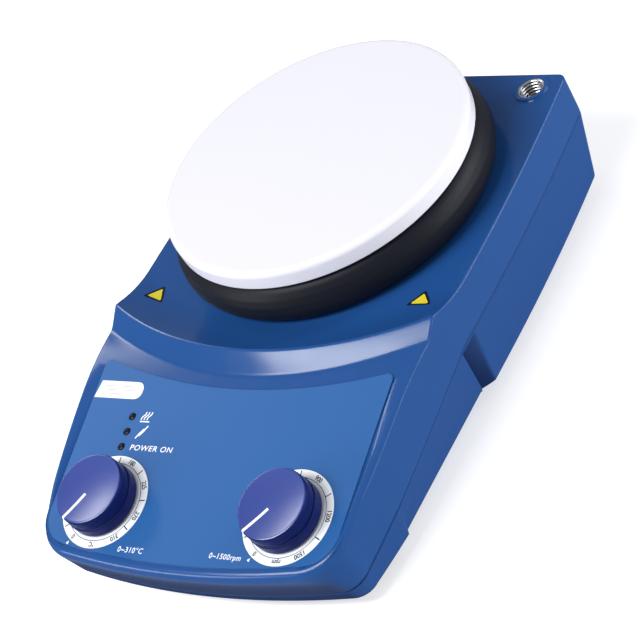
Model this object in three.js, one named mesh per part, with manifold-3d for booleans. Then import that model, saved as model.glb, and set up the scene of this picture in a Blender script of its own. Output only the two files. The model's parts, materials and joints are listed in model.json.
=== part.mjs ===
// Magnetic stirrer with a heated plate: a two-shell case, a round work plate on a black collar,
// two turning knobs on a sloping front panel, and the drive, heater and electrics inside.
// Units are millimetres. +Z is up, the front panel faces -Y, and the origin is on the table,
// in the middle of the footprint.

import * as THREE from 'three';
import { mergeVertices } from 'three/addons/utils/BufferGeometryUtils.js';
import Module from 'manifold-3d';

const wasm = await Module();
wasm.setup();

// ---------------------------------------------------------------- driving dimensions

const FIT = 0.3;                    // gap kept between neighbouring pieces
const WALL = 2.8;                   // moulded wall of the case
const FOOT_HEIGHT = 7;              // table to the bottom rim of the case

const PLATE_Y = 52.4;               // work plate centre, behind the middle of the case
const PLATE_RADIUS = 67.5;
const PLATE_TOP = 81.1;
const PLATE_THICKNESS = 8.4;

const DECK = 53.1;                  // flat top of the case round the collar
const CREST = 58.5;                 // ridge between the deck and the front panel
const SWEEP_Y = 125.1;              // vertical axis that the ridge curves round
const RAMP_START = 138.4;           // radii from that axis
const RAMP_END = 158.4;
const STEP_WIDTH = 9.5;             // the step down from the ridge, to a level shoulder
const SHOULDER = 53.3;
const SHOULDER_BEND = 4;            // softness of the bend between that shoulder and the panel

const PANEL_SLOPE = 0.249;          // rise of the front panel per mm to the rear
const PANEL_TILT = Math.atan(PANEL_SLOPE);
const DIAL_Y = -98.2;               // line through both dials
const DIAL_Z = 38.2;
const DIAL_X = 45.3;
const POINTER_REST_DEG = { left: -118, right: -126 };

const REAR_Y = 126;
const FRONT_Y = -126;               // front edge of the panel, on the centre line
const PANEL_EDGE_Z = 31.2;
const RIM_REAR_Y = 115.5;           // the rear wall leans in below the seam
const RIM_FRONT_Y = -116.4;         // and the front wall leans in below the panel
const HALF_WIDTH = 77.8;            // widest place of the bottom rim
const WIDEST_Y = 18.5;
const SIDE_DRAFT = 0.038;

const SEAM = 33.8;                  // the joint between the two shells, level at the rear
const SEAM_BEND_Y = -4.9;           // and falling towards the front from here
const SEAM_FALL = 0.189;

const KNOB_RADIUS = 15.7;
const KNOB_HEIGHT = 11.9;
const DIAL_RADIUS = 20.2;

const MOTOR_RADIUS = 26;
const ROTOR_RADIUS = 36;
const MAGNET_REACH = 26;            // magnet centre from the spin axis

// ---------------------------------------------------------------- solids

function solid(geometry) {
  const bare = geometry.clone();
  bare.deleteAttribute('normal');
  bare.deleteAttribute('uv');
  const merged = mergeVertices(bare, 1e-4);
  return new wasm.Manifold(new wasm.Mesh({
    numProp: 3,
    vertProperties: new Float32Array(merged.attributes.position.array),
    triVerts: new Uint32Array(merged.index.array),
  }));
}

function geometryOf(body) {
  const mesh = body.getMesh();
  const geometry = new THREE.BufferGeometry();
  geometry.setAttribute('position', new THREE.BufferAttribute(mesh.vertProperties, 3));
  geometry.setIndex(new THREE.BufferAttribute(mesh.triVerts, 1));
  geometry.computeVertexNormals();
  return geometry;
}

function cut(geometry, ...tools) {
  return geometryOf(tools.reduce((body, tool) => body.subtract(solid(tool)), solid(geometry)));
}

function join(geometry, ...others) {
  return geometryOf(others.reduce((body, other) => body.add(solid(other)), solid(geometry)));
}

function common(geometry, other) {
  return geometryOf(solid(geometry).intersect(solid(other)));
}

// A solid of revolution about Z. The profile is [radius, z] pairs, anticlockwise.
function turned(profile, segments = 32) {
  const points = profile.map(([r, z]) => new THREE.Vector2(r, z));
  const closed = profile[0][0] > 0 ? [...points, points[0].clone()] : points;
  return new THREE.LatheGeometry(closed, segments).rotateX(Math.PI / 2);
}

function disc(radius, low, high, segments = 32) {
  return turned([[0, low], [radius, low], [radius, high], [0, high]], segments);
}

function ring(inner, outer, low, high, segments = 32) {
  return turned([[inner, low], [outer, low], [outer, high], [inner, high]], segments);
}

function block(x0, x1, y0, y1, z0, z1) {
  const box = new THREE.BoxGeometry(x1 - x0, y1 - y0, z1 - z0);
  return box.translate((x0 + x1) / 2, (y0 + y1) / 2, (z0 + z1) / 2);
}

// A straight-sided solid standing on an outline in the XY plane.
function prism(points, low, high) {
  const shape = new THREE.Shape(points.map(([x, y]) => new THREE.Vector2(x, y)));
  const body = new THREE.ExtrudeGeometry(shape, { depth: high - low, bevelEnabled: false });
  return body.translate(0, 0, low);
}

// A solid of constant section along X, from an outline in the YZ plane.
function alongX(points, x0, x1) {
  return prism(points, x0, x1).applyMatrix4(new THREE.Matrix4().set(
    0, 0, 1, 0,
    1, 0, 0, 0,
    0, 1, 0, 0,
    0, 0, 0, 1));
}

// A solid of constant section along Y, from an outline in the XZ plane.
function alongY(points, y0, y1) {
  return prism(points, -y1, -y0).rotateX(Math.PI / 2);
}

// A solid whose outline changes with height: outlineAt gives the same number of points at
// every level, and the walls run straight between levels.
function drafted(outlineAt, levels) {
  const base = outlineAt(levels[0]).map(([x, y]) => new THREE.Vector2(x, y));
  const steps = levels.length - 1;
  const shape = new THREE.Shape(base);
  const body = new THREE.ExtrudeGeometry(shape, { depth: 1, steps, bevelEnabled: false });
  const rings = levels.map(outlineAt);
  const place = body.attributes.position;
  for (let i = 0; i < place.count; i += 1) {
    const level = Math.round(place.getZ(i) * steps);
    const corner = base.findIndex(p => Math.hypot(p.x - place.getX(i), p.y - place.getY(i)) < 1e-3);
    const [x, y] = rings[level][corner];
    place.setXYZ(i, x, y, levels[level]);
  }
  return body;
}

function arc(cx, cy, radius, from, to, steps) {
  return Array.from({ length: steps + 1 }, (_, i) => {
    const angle = from + (to - from) * i / steps;
    return [cx + radius * Math.cos(angle), cy + radius * Math.sin(angle)];
  });
}

function roundedBox(halfX, halfY, radius, steps = 4) {
  const quarter = Math.PI / 2;
  const corners = [[1, 1], [-1, 1], [-1, -1], [1, -1]];
  return corners.flatMap(([sx, sy], i) => arc(
    sx * (halfX - radius), sy * (halfY - radius), radius, i * quarter, (i + 1) * quarter, steps));
}

// ---------------------------------------------------------------- places

// Panel frame: x across, y up the slope, z out of the panel, origin midway between the dials.
const panelPlace = new THREE.Matrix4()
  .makeTranslation(0, DIAL_Y, DIAL_Z)
  .multiply(new THREE.Matrix4().makeRotationX(PANEL_TILT));

function onPanel(geometry, x = 0, y = 0) {
  return geometry.clone().translate(x, y, 0).applyMatrix4(panelPlace);
}

// Rear frame: x towards the left side, y up the leaning lower rear wall, z out of the wall,
// origin in the middle of that wall.
const REAR_LEAN = Math.atan((REAR_Y - RIM_REAR_Y) / (SEAM - FOOT_HEIGHT));
const rearPlace = new THREE.Matrix4()
  .makeTranslation(0, (REAR_Y + RIM_REAR_Y) / 2, (SEAM + FOOT_HEIGHT) / 2)
  .multiply(new THREE.Matrix4().makeRotationX(-REAR_LEAN))
  .multiply(new THREE.Matrix4().makeRotationX(Math.PI / 2))
  .multiply(new THREE.Matrix4().makeRotationY(Math.PI));

function onRear(geometry, x, y = 0) {
  return geometry.clone().translate(x, y, 0).applyMatrix4(rearPlace);
}

function onAxis(geometry) {
  return geometry.clone().translate(0, PLATE_Y, 0);
}

function atPost(geometry, degrees) {
  const angle = THREE.MathUtils.degToRad(degrees);
  return onAxis(geometry.clone().translate(POST_REACH * Math.cos(angle), POST_REACH * Math.sin(angle), 0));
}

// ---------------------------------------------------------------- case outline

const REAR_CORNER = 4;
const FRONT_ARC = 360;
const CORNER_AT_RIM = 8;
const CORNER_AT_PANEL = 20;
const REAR_BOW = 0.00049;           // how the sides draw in behind and before the widest place
const FRONT_BOW = 0.00019;
const NOSE_Y = -57.6;               // ahead of here the sides draw in more
const NOSE_BOW = 0.0009;
const CASE_LEVELS = [FOOT_HEIGHT, PANEL_EDGE_Z, SEAM, 66];

function halfWidth(y, z) {
  const away = y - WIDEST_Y;
  const bow = away > 0 ? REAR_BOW : FRONT_BOW;
  const nose = NOSE_BOW * Math.max(0, NOSE_Y - y) ** 2;
  return HALF_WIDTH - bow * away * away - nose + SIDE_DRAFT * (z - FOOT_HEIGHT);
}

function rearWall(z) {
  const lean = (REAR_Y - RIM_REAR_Y) / (SEAM - FOOT_HEIGHT);
  return Math.min(REAR_Y, RIM_REAR_Y + lean * (z - FOOT_HEIGHT));
}

function frontWall(z) {
  const lean = (RIM_FRONT_Y - FRONT_Y) / (PANEL_EDGE_Z - FOOT_HEIGHT);
  return RIM_FRONT_Y - lean * (z - FOOT_HEIGHT);
}

// The right half of the plan outline at height z, from the rear to the front, moved in by inset.
function halfOutline(z, inset) {
  const rise = Math.min(1, (z - FOOT_HEIGHT) / (PANEL_EDGE_Z - FOOT_HEIGHT));
  const corner = CORNER_AT_RIM + (CORNER_AT_PANEL - CORNER_AT_RIM) * rise - inset;
  const rearCorner = REAR_CORNER - inset * 0.8;
  const rear = rearWall(z) - inset;
  const sweep = FRONT_ARC - inset;
  const centre = frontWall(z) + inset + sweep;
  let cornerX = 0;
  let cornerY = frontWall(z) + corner;
  for (let i = 0; i < 4; i += 1) {
    cornerX = halfWidth(cornerY, z) - inset - corner;
    cornerY = centre - Math.sqrt((sweep - corner) ** 2 - cornerX ** 2);
  }
  const turn = Math.atan2(cornerY - centre, cornerX);
  const rearStart = rear - rearCorner;
  const rearX = halfWidth(rearStart, z) - inset - rearCorner;
  const sideSteps = 7;
  const side = Array.from({ length: sideSteps - 1 }, (_, i) => {
    const y = rearStart + (cornerY - rearStart) * (i + 1) / sideSteps;
    return [halfWidth(y, z) - inset, y];
  });
  return [
    ...arc(rearX, rearStart, rearCorner, Math.PI / 2, 0, 3),
    ...side,
    ...arc(cornerX, cornerY, corner, 0, turn, 5),
    ...arc(0, centre, sweep, turn, -Math.PI / 2, 5).slice(1),
  ];
}

function caseOutline(z, inset) {
  const half = halfOutline(z, inset);
  const mirrored = half.slice(0, -1).map(([x, y]) => [-x, y]);
  return [...mirrored, ...half.slice().reverse()];
}

// Height of the outer surface of the case top.
function topHeight(x, y) {
  const reach = Math.hypot(x, y - SWEEP_Y);
  if (reach <= RAMP_START) return DECK;
  if (reach <= RAMP_END) {
    return DECK + (CREST - DECK) * ((reach - RAMP_START) / (RAMP_END - RAMP_START)) ** 1.8;
  }
  const panel = DIAL_Z + PANEL_SLOPE * (y - DIAL_Y);
  const bend = Math.max(0, SHOULDER_BEND - Math.abs(SHOULDER - panel)) ** 2 / (4 * SHOULDER_BEND);
  const low = Math.min(SHOULDER, panel) - bend;
  const down = Math.min(1, (reach - RAMP_END) / STEP_WIDTH);
  return low + (CREST - low) * (1 - Math.sin(down * Math.PI / 2) ** 1.5);
}

// Everything under the case top, swept round the ridge's axis and lowered by drop.
function underTop(drop) {
  const base = -20;
  const radii = [
    270, 196, 185, 176, 168, 165.5, 163, 160.5, RAMP_END, 154.5, 148, RAMP_START];
  const profile = [[0, base], [270, base], ...radii.map(r => [r, 0]), [0, 0]];
  const body = turned(profile, 84).translate(0, SWEEP_Y, 0);
  const place = body.attributes.position;
  for (let i = 0; i < place.count; i += 1) {
    if (place.getZ(i) > base / 2) {
      place.setZ(i, topHeight(place.getX(i), place.getY(i)) - drop);
    }
  }
  return body;
}

// The case as one lump, moved in by inset all round and under the top.
function caseLump(inset) {
  return common(drafted(z => caseOutline(z, inset), CASE_LEVELS), underTop(inset));
}

function caseShell() {
  const bottom = block(-90, 90, -140, 140, FOOT_HEIGHT + WALL, 80);
  return cut(caseLump(0), common(caseLump(WALL), bottom));
}

// Everything above the seam line raised by lift.
function aboveSeam(lift) {
  const front = -140;
  const low = SEAM + lift - SEAM_FALL * (SEAM_BEND_Y - front);
  return alongX([[140, 80], [front, 80], [front, low], [SEAM_BEND_Y, SEAM + lift], [140, SEAM + lift]],
    -90, 90);
}

// ---------------------------------------------------------------- case shells

const SCREW_PLACES = {
  front_left: [-58, -84],
  front_right: [58, -84],
  rear_left: [-56, 92],
  rear_right: [56, 92],
};
const SCREW_BOSS_FOOT = 14;         // where the bosses of the two shells meet
const SCREW_RADIUS = 1.75;
const SCREW_TOP = 25;
const SOCKET_X = 61.8;              // socket for the support rod
const SOCKET_Y = 116.6;
const SOCKET_RIM = 54.1;
const SOCKET_RADIUS = 6.2;
const SOCKET_FOOT = 34.5;
const ROTOR_OPENING = 44;
const LED_X = -47.5;
const LED_V = [37.6, 30.9, 24.2];   // distances up the panel from the dial line
const LED_RADIUS = 1.6;
const OVERLAY_DEPTH = 0.8;
const OVERLAY_THICKNESS = 0.5;
const BUSH_RADIUS = 4.5;            // threaded bush of each potentiometer
const STUD_RADIUS = 2;              // lower end of the posts that carry the plate
const POST_REACH = 57;
const POST_ANGLES = [90, 210, 330];

// Outline of the panel label, moved out by grow.
function overlayOutline(grow) {
  const half = 71.3 + grow;
  const topMiddle = 52 + grow;
  const topArc = 235 - grow;
  const lowMiddle = -23.4 - grow;
  const lowArc = 400 + grow;
  const topCorner = 5 + grow;
  const lowCorner = 14 + grow;
  const cx = half - topCorner;
  const lx = half - lowCorner;
  const topY = topMiddle + topArc - Math.sqrt((topArc + topCorner) ** 2 - cx ** 2);
  const lowY = lowMiddle + lowArc - Math.sqrt((lowArc - lowCorner) ** 2 - lx ** 2);
  const topTurn = Math.atan2(topMiddle + topArc - topY, -cx);
  const lowTurn = Math.atan2(lowY - lowMiddle - lowArc, lx);
  const right = [
    ...arc(0, lowMiddle + lowArc, lowArc, -Math.PI / 2, lowTurn, 4),
    ...arc(lx, lowY, lowCorner, lowTurn, 0, 5).slice(1),
    ...arc(cx, topY, topCorner, 0, topTurn, 5),
    ...arc(0, topMiddle + topArc, topArc, topTurn - Math.PI, -Math.PI / 2, 5).slice(1),
  ];
  const left = right.slice(1, -1).reverse().map(([x, y]) => [-x, y]);
  return [...right, ...left];
}

function screwBoss([x, y]) {
  const boss = disc(5, SCREW_BOSS_FOOT, 62, 12).translate(x, y, 0);
  return common(boss, caseLump(WALL - 0.4));
}

function upperHousing() {
  const socketBoss = turned([
    [0, SOCKET_FOOT + 4], [SOCKET_RADIUS + 2.5, SOCKET_FOOT + 4], [SOCKET_RADIUS + 2.5, DECK - 1],
    [SOCKET_RADIUS + 1, DECK - 1], [SOCKET_RADIUS + 1, SOCKET_RIM], [0, SOCKET_RIM]])
    .translate(SOCKET_X, SOCKET_Y, 0);
  const bosses = Object.values(SCREW_PLACES).map(screwBoss);
  const shell = join(common(caseShell(), aboveSeam(FIT)), ...bosses,
    common(socketBoss, drafted(z => caseOutline(z, 1), CASE_LEVELS)));
  const pilots = Object.values(SCREW_PLACES).map(([x, y]) => (
    disc(SCREW_RADIUS + FIT, 0, SCREW_TOP + 2, 12).translate(x, y, 0)));
  const shaftHoles = [-DIAL_X, DIAL_X].map(x => onPanel(disc(BUSH_RADIUS + FIT, -9, 9, 20), x));
  const ledHoles = LED_V.map(v => onPanel(disc(LED_RADIUS + FIT, -9, 9, 12), LED_X, v));
  const studHoles = POST_ANGLES.map(angle => atPost(disc(STUD_RADIUS + FIT, 40, 60, 12), angle));
  return cut(shell,
    onAxis(disc(ROTOR_OPENING, 40, 70)),
    disc(SOCKET_RADIUS + FIT, 20, 70).translate(SOCKET_X, SOCKET_Y, 0),
    onPanel(prism(overlayOutline(FIT), -OVERLAY_DEPTH, 30)),
    ...pilots, ...shaftHoles, ...ledHoles, ...studHoles);
}

const SIDE_RIM_X = 74;              // the lower shell is narrower ahead of the finger recess
const SIDE_LEAN = 0.175;
const RECESS_Y = -4.6;              // front end of the finger recess, at the bottom rim
const RECESS_LIP = 4.4;             // depth of the lip over the recess

const onSide = (points, side) => points.map(([x, y]) => [side * x, y]);

// What is taken off one side of the lower shell ahead of the finger recess.
function sideRelief(side, grow) {
  const low = FOOT_HEIGHT - 5;
  const high = 40;
  const lean = z => SIDE_RIM_X + (z - FOOT_HEIGHT) * SIDE_LEAN - grow;
  const section = [[lean(low), low], [90, low], [90, high], [lean(high), high]];
  return alongY(onSide(section, side), -140, RECESS_Y + grow);
}

// The scoop behind that relief: short at the bottom rim and longer under the lip, with an
// upright front end, and a face that rounds off into the side.
function recessOutline(z, side, grow) {
  const rise = (z - FOOT_HEIGHT) / (SEAM - FOOT_HEIGHT);
  const front = RECESS_Y - 4.2 * rise - grow;
  const length = 6.5 + 11 * rise + 2 * grow;
  const deep = SIDE_RIM_X - 0.6 - grow;
  const proud = halfWidth(RECESS_Y, z) + 1.2;
  const steps = 6;
  const face = Array.from({ length: steps + 1 }, (_, i) => {
    const turn = (1 - i / steps) * Math.PI / 2;
    return [deep + (proud - deep) * Math.sin(turn), front + length * (1 - Math.cos(turn))];
  });
  return onSide([[90, front], [90, front + length], ...face], side);
}

function fingerRecess(side, grow) {
  const scoop = drafted(z => recessOutline(z, side, grow), [FOOT_HEIGHT - 2, SEAM + grow]);
  const lip = SEAM - RECESS_LIP - 2.6 + grow;
  const under = alongX([
    [RECESS_Y - 16, 0], [RECESS_Y + 30, 0], [RECESS_Y + 30, SEAM - 0.8 + grow],
    [RECESS_Y + 9, SEAM - 0.8 + grow], [RECESS_Y - 12, lip], [RECESS_Y - 16, lip]], -95, 95);
  return common(scoop, under);
}

// ---- rear wall fittings, in the rear frame

const INLET_X = 28;
const SWITCH_X = -8;
const FUSE_X = -34;
const FLANGE_SINK = 0.9;            // how far the flanges sit below the wall's face
const FLANGE_TOP = 0.6;
const INLET_FLANGE = [15.5, 12];    // half sizes
const INLET_BODY = [13.2, 9.7];
const SWITCH_FLANGE = [7.5, 10.5];
const SWITCH_BODY = [6.3, 9.3];
const SWITCH_WINDOW = [5.3, 8.3];
const FUSE_FLANGE = 8;
const FUSE_BODY = 6;

const plain = ([halfX, halfY], grow = 0) => roundedBox(halfX + grow, halfY + grow, 1, 2);

function rearCuts() {
  const sink = -FLANGE_SINK - FIT;
  return [
    onRear(prism(plain(INLET_FLANGE, FIT), sink, 20), INLET_X),
    onRear(prism(plain(INLET_BODY, FIT), -12, 20), INLET_X),
    onRear(prism(plain(SWITCH_FLANGE, FIT), sink, 20), SWITCH_X),
    onRear(prism(plain(SWITCH_BODY, FIT), -12, 20), SWITCH_X),
    onRear(disc(FUSE_FLANGE + FIT, sink, 20, 20), FUSE_X),
    onRear(disc(FUSE_BODY + FIT, -12, 20, 20), FUSE_X),
  ];
}

const BRACKET_SPAN = 33;            // half the inside width of the motor bracket
const BRACKET_FOOT = 46;
const BRACKET_TOP = 44;
const SHEET = 1.5;
const FLOOR = FOOT_HEIGHT + WALL;
const VENT_ROWS = [-52, 96];
const VENTS_PER_ROW = 7;

function lowerHousing() {
  const sides = [-1, 1];
  const outer = cut(caseLump(0), aboveSeam(0),
    ...sides.map(side => sideRelief(side, 0)), ...sides.map(side => fingerRecess(side, 0)));
  const above = block(-90, 90, -140, 140, FLOOR, 80);
  const hollow = cut(common(caseLump(WALL), above),
    ...sides.map(side => sideRelief(side, WALL)), ...sides.map(side => fingerRecess(side, WALL)));
  const places = Object.values(SCREW_PLACES);
  const bosses = places.map(([x, y]) => disc(5, FLOOR - 1, SCREW_BOSS_FOOT - FIT, 12).translate(x, y, 0));
  const holes = places.map(([x, y]) => disc(SCREW_RADIUS + FIT, 0, 20, 12).translate(x, y, 0));
  const vents = VENT_ROWS.flatMap(row => Array.from({ length: VENTS_PER_ROW }, (_, i) => {
    const x = (i - (VENTS_PER_ROW - 1) / 2) * 8;
    return block(x - 1.5, x + 1.5, row - 14, row + 14, 0, FLOOR + 5);
  }));
  return cut(join(cut(outer, hollow), ...bosses), ...holes, ...vents, ...rearCuts());
}

// ---------------------------------------------------------------- feet and case screws

const FOOT_RADIUS = 7;

function foot() {
  return turned([
    [SCREW_RADIUS + FIT, 3], [4, 3], [4, 0], [FOOT_RADIUS - 0.8, 0], [FOOT_RADIUS, 1],
    [FOOT_RADIUS, FOOT_HEIGHT - FIT], [SCREW_RADIUS + FIT, FOOT_HEIGHT - FIT]], 16);
}

function caseScrew() {
  return turned([
    [0, 0.8], [3.6, 0.8], [3.6, 2.7], [SCREW_RADIUS, 2.7], [SCREW_RADIUS, SCREW_TOP],
    [0, SCREW_TOP]], 12);
}

// ---------------------------------------------------------------- plate and heater stack

const PLATE_BOTTOM = PLATE_TOP - PLATE_THICKNESS;
const HEATER_RADIUS = 52;
const TRAY_TOP = 63.5;              // floor of the collar, which carries the heater stack
const TRAY_BOTTOM = 62;
const COLLAR_TOP = 71.7;

function workPlate() {
  const r = PLATE_RADIUS;
  return turned([
    [0, PLATE_BOTTOM], [r - 0.5, PLATE_BOTTOM], [r, PLATE_BOTTOM + 0.5],
    [r, PLATE_TOP - 1.1], [r - 0.3, PLATE_TOP - 0.4], [r - 1.1, PLATE_TOP], [0, PLATE_TOP]], 48);
}

function plateCollar() {
  const foot = DECK + FIT;
  const body = turned([
    [0, TRAY_BOTTOM], [61.5, TRAY_BOTTOM], [61.5, foot], [65.2, foot], [68.4, 55.7],
    [70.5, 59.8], [70.2, 64.2], [68.2, 69], [65.6, COLLAR_TOP], [63.6, COLLAR_TOP],
    [63.6, TRAY_TOP], [0, TRAY_TOP]], 40).translate(0, PLATE_Y, 0);
  const lugs = POST_ANGLES.map(angle => atPost(disc(5, foot, TRAY_TOP - 0.5, 16), angle));
  const studs = POST_ANGLES.map(angle => atPost(disc(STUD_RADIUS + FIT, 50, 70, 12), angle));
  const leads = onAxis(disc(3, 55, 70, 12).translate(0, -41, 0));
  return cut(join(body, ...lugs), ...studs, leads);
}

function platePost() {
  const seat = TRAY_TOP + FIT;
  return turned([
    [0, 46.5], [STUD_RADIUS, 46.5], [STUD_RADIUS, seat], [3.2, seat],
    [3.2, PLATE_BOTTOM - FIT], [0, PLATE_BOTTOM - FIT]], 12);
}

const ELEMENT_LOW = 70.2;
const CLAMP_LOW = 68.4;
const PAD_LOW = TRAY_TOP + FIT;
const CUTOUT_X = -30;
const SENSOR_HOLE = 6;
const CUTOUT_RADIUS = 8;

function heatingElement() {
  return ring(SENSOR_HOLE, HEATER_RADIUS, ELEMENT_LOW, PLATE_BOTTOM - FIT, 28);
}

function heaterClamp() {
  return ring(SENSOR_HOLE, HEATER_RADIUS, CLAMP_LOW, ELEMENT_LOW - FIT, 28);
}

function insulationDisc() {
  return cut(ring(SENSOR_HOLE, HEATER_RADIUS, PAD_LOW, CLAMP_LOW - FIT, 28),
    disc(CUTOUT_RADIUS + FIT, 60, 70, 16).translate(CUTOUT_X, 0, 0));
}

function temperatureSensor() {
  return turned([
    [0, PAD_LOW + FIT], [5, PAD_LOW + FIT], [5, 66], [3, 66],
    [3, PLATE_BOTTOM - FIT - 0.1], [0, PLATE_BOTTOM - FIT - 0.1]], 16);
}

function thermalCutout() {
  return disc(CUTOUT_RADIUS, PAD_LOW + FIT, CLAMP_LOW - 2 * FIT, 16).translate(CUTOUT_X, 0, 0);
}

// ---------------------------------------------------------------- stirring drive

const MOTOR_LOW = 17;
const MOTOR_HIGH = BRACKET_TOP - FIT;
const NECK_RADIUS = 9;
const SHAFT_RADIUS = 2.5;
const BEARING_RADIUS = 5;
const BAR_LOW = 53.8;               // magnet bar, turning in the space under the collar's floor
const BAR_HIGH = 56.8;

function motorBracket() {
  const low = FLOOR + FIT;
  const half = [
    [0, BRACKET_TOP], [BRACKET_SPAN, BRACKET_TOP], [BRACKET_SPAN, low], [BRACKET_FOOT, low],
    [BRACKET_FOOT, low + SHEET], [BRACKET_SPAN + SHEET, low + SHEET],
    [BRACKET_SPAN + SHEET, BRACKET_TOP + SHEET], [0, BRACKET_TOP + SHEET]];
  const mirrored = half.slice(1, -1).reverse().map(([x, z]) => [-x, z]);
  return cut(alongY([...half, ...mirrored], -27, 27), disc(NECK_RADIUS + FIT, 30, 60, 24));
}

function motorHousing() {
  const pocket = BEARING_RADIUS + FIT;
  return turned([
    [pocket, MOTOR_LOW], [MOTOR_RADIUS, MOTOR_LOW], [MOTOR_RADIUS, MOTOR_HIGH],
    [NECK_RADIUS, MOTOR_HIGH], [NECK_RADIUS, 47], [pocket, 47], [pocket, 41], [16, 41],
    [16, 21], [pocket, 21]], 24);
}

function motorStator() {
  return ring(10.5, 15.4, 22, 40, 24);
}

function motorArmature() {
  return ring(SHAFT_RADIUS + FIT, 10.1, 23, 39, 20);
}

function motorShaft() {
  return disc(SHAFT_RADIUS, 16, 58, 12);
}

function motorBearing(low) {
  return ring(SHAFT_RADIUS + FIT, BEARING_RADIUS, low, low + 3.6, 16);
}

function magnetCarrier() {
  const bore = SHAFT_RADIUS + FIT;
  const wheel = turned([
    [0, 58.3], [bore, 58.3], [bore, 50.5], [7, 50.5], [7, BAR_LOW], [ROTOR_RADIUS, BAR_LOW],
    [ROTOR_RADIUS, BAR_HIGH], [7, BAR_HIGH], [7, 60], [0, 60]], 24);
  return common(wheel, block(-40, 40, -13, 13, 40, 70));
}

function driveMagnet() {
  return disc(8, BAR_HIGH + FIT, 61.1, 16);
}

// ---------------------------------------------------------------- front panel

const BOARD_FACE = -15.5;           // components' side of the control board, in the panel frame
const SHAFT_TOP = 9.5;
const POT_SHAFT_RADIUS = 3;

function controlBoard() {
  return block(-51, 51, -16, 46, BOARD_FACE - 1.6, BOARD_FACE);
}

function potentiometer() {
  const bore = POT_SHAFT_RADIUS + FIT;
  return turned([
    [0, BOARD_FACE + FIT], [8.2, BOARD_FACE + FIT], [8.2, -7], [BUSH_RADIUS, -7],
    [BUSH_RADIUS, 2.6], [bore, 2.6], [bore, -13], [0, -13]], 16);
}

function potShaft() {
  return disc(POT_SHAFT_RADIUS, -12.7, SHAFT_TOP, 16);
}

function potNut() {
  return cut(disc(6.6, 0.3, 2.3, 6), disc(BUSH_RADIUS + FIT, 0, 3, 16));
}

const POINTER_WIDTH = 1.3;
const POINTER_FROM = 2.2;
const POINTER_TO = 15.1;
const POINTER_LOW = 11.3;

function knob() {
  const r = KNOB_RADIUS;
  const h = KNOB_HEIGHT;
  const bore = POT_SHAFT_RADIUS + FIT;
  const body = turned([
    [0, SHAFT_TOP + FIT], [bore, SHAFT_TOP + FIT], [bore, 3], [6.5, 3], [6.5, 8], [12.8, 8],
    [12.8, 0.8], [r, 0.8], [r, 6.2], [r - 0.7, 6.5], [r - 0.7, 7.1], [r - 0.2, 7.4],
    [r - 0.5, h - 1.2], [r - 1.8, h], [0, h]], 28);
  const slot = block(POINTER_FROM - FIT, POINTER_TO + 0.1, -POINTER_WIDTH / 2 - FIT,
    POINTER_WIDTH / 2 + FIT, POINTER_LOW - FIT, 20);
  return cut(body, slot);
}

function pointer() {
  const half = POINTER_WIDTH / 2;
  return block(POINTER_FROM, POINTER_TO - FIT, -half, half, POINTER_LOW, KNOB_HEIGHT);
}

function dialRing() {
  return ring(BUSH_RADIUS + FIT, DIAL_RADIUS, -OVERLAY_THICKNESS, 0, 32);
}

function panelOverlay() {
  const windows = [-DIAL_X, DIAL_X].map(x => disc(DIAL_RADIUS + FIT + 0.1, -2, 2, 32).translate(x, 0, 0));
  const ledWindows = LED_V.map(v => disc(LED_RADIUS + FIT, -2, 2, 12).translate(LED_X, v, 0));
  return cut(prism(overlayOutline(0), -OVERLAY_THICKNESS, 0), ...windows, ...ledWindows);
}

function indicatorLens() {
  return turned([
    [0, -6], [2.4, -6], [2.4, -4.2], [LED_RADIUS, -4.2], [LED_RADIUS, 0], [1, 0.5], [0, 0.6]], 12);
}

// ---------------------------------------------------------------- rod socket and electrics

function rodSocket() {
  return turned([
    [0, SOCKET_FOOT], [SOCKET_RADIUS, SOCKET_FOOT], [SOCKET_RADIUS, SOCKET_RIM], [5.3, SOCKET_RIM],
    [4.5, SOCKET_RIM - 0.8], [4.5, SOCKET_FOOT + 2], [0, SOCKET_FOOT + 2]], 24);
}

// Socket for the mains lead: a flange, a body with a deep mouth, and three blades in it.
function mainsInlet() {
  const shell = join(
    prism(plain(INLET_FLANGE), -FLANGE_SINK, FLANGE_TOP),
    prism(plain(INLET_BODY), -18, 0));
  const mouth = prism([
    [-11.5, -7.5], [11.5, -7.5], [11.5, 3.5], [7.5, 7.5], [-7.5, 7.5], [-11.5, 3.5]], -15, 5);
  const blades = [[-7, -2], [0, 2], [7, -2]].map(([x, y]) => (
    block(x - 1, x + 1, y - 2, y + 2, -16, -4.5)));
  return join(cut(shell, mouth), ...blades);
}

function switchFrame() {
  return cut(
    join(prism(plain(SWITCH_FLANGE), -FLANGE_SINK, FLANGE_TOP), prism(plain(SWITCH_BODY), -14, 0)),
    prism(plain(SWITCH_WINDOW), -8, 5));
}

const ROCKER_PIVOT = -3;            // depth of the rocker's pivot below the wall's face
const ROCKER_TILT_DEG = 6;

// The rocker lies tilted to its off side at rest.
function switchRocker() {
  const section = [[-7.4, -4.4], [7.4, -4.4], [7.4, 1], [0, 0.2], [-7.4, 1]];
  const body = alongX(section, -4.9, 4.9).translate(0, 0, -ROCKER_PIVOT);
  return body.rotateX(THREE.MathUtils.degToRad(ROCKER_TILT_DEG)).translate(0, 0, ROCKER_PIVOT);
}

function fuseHolder() {
  return turned([
    [0, -20], [FUSE_BODY, -20], [FUSE_BODY, -FLANGE_SINK], [FUSE_FLANGE, -FLANGE_SINK],
    [FUSE_FLANGE, FLANGE_TOP], [4.9, FLANGE_TOP], [4.9, -17], [0, -17]], 20);
}

function fuseCap() {
  const cap = turned([[0, -12], [4.5, -12], [4.5, 1], [6.4, 1], [6.4, 2.6], [5.9, 3.1], [0, 3.1]], 20);
  return cut(cap, block(-4, 4, -0.6, 0.6, 2, 4));
}

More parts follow.
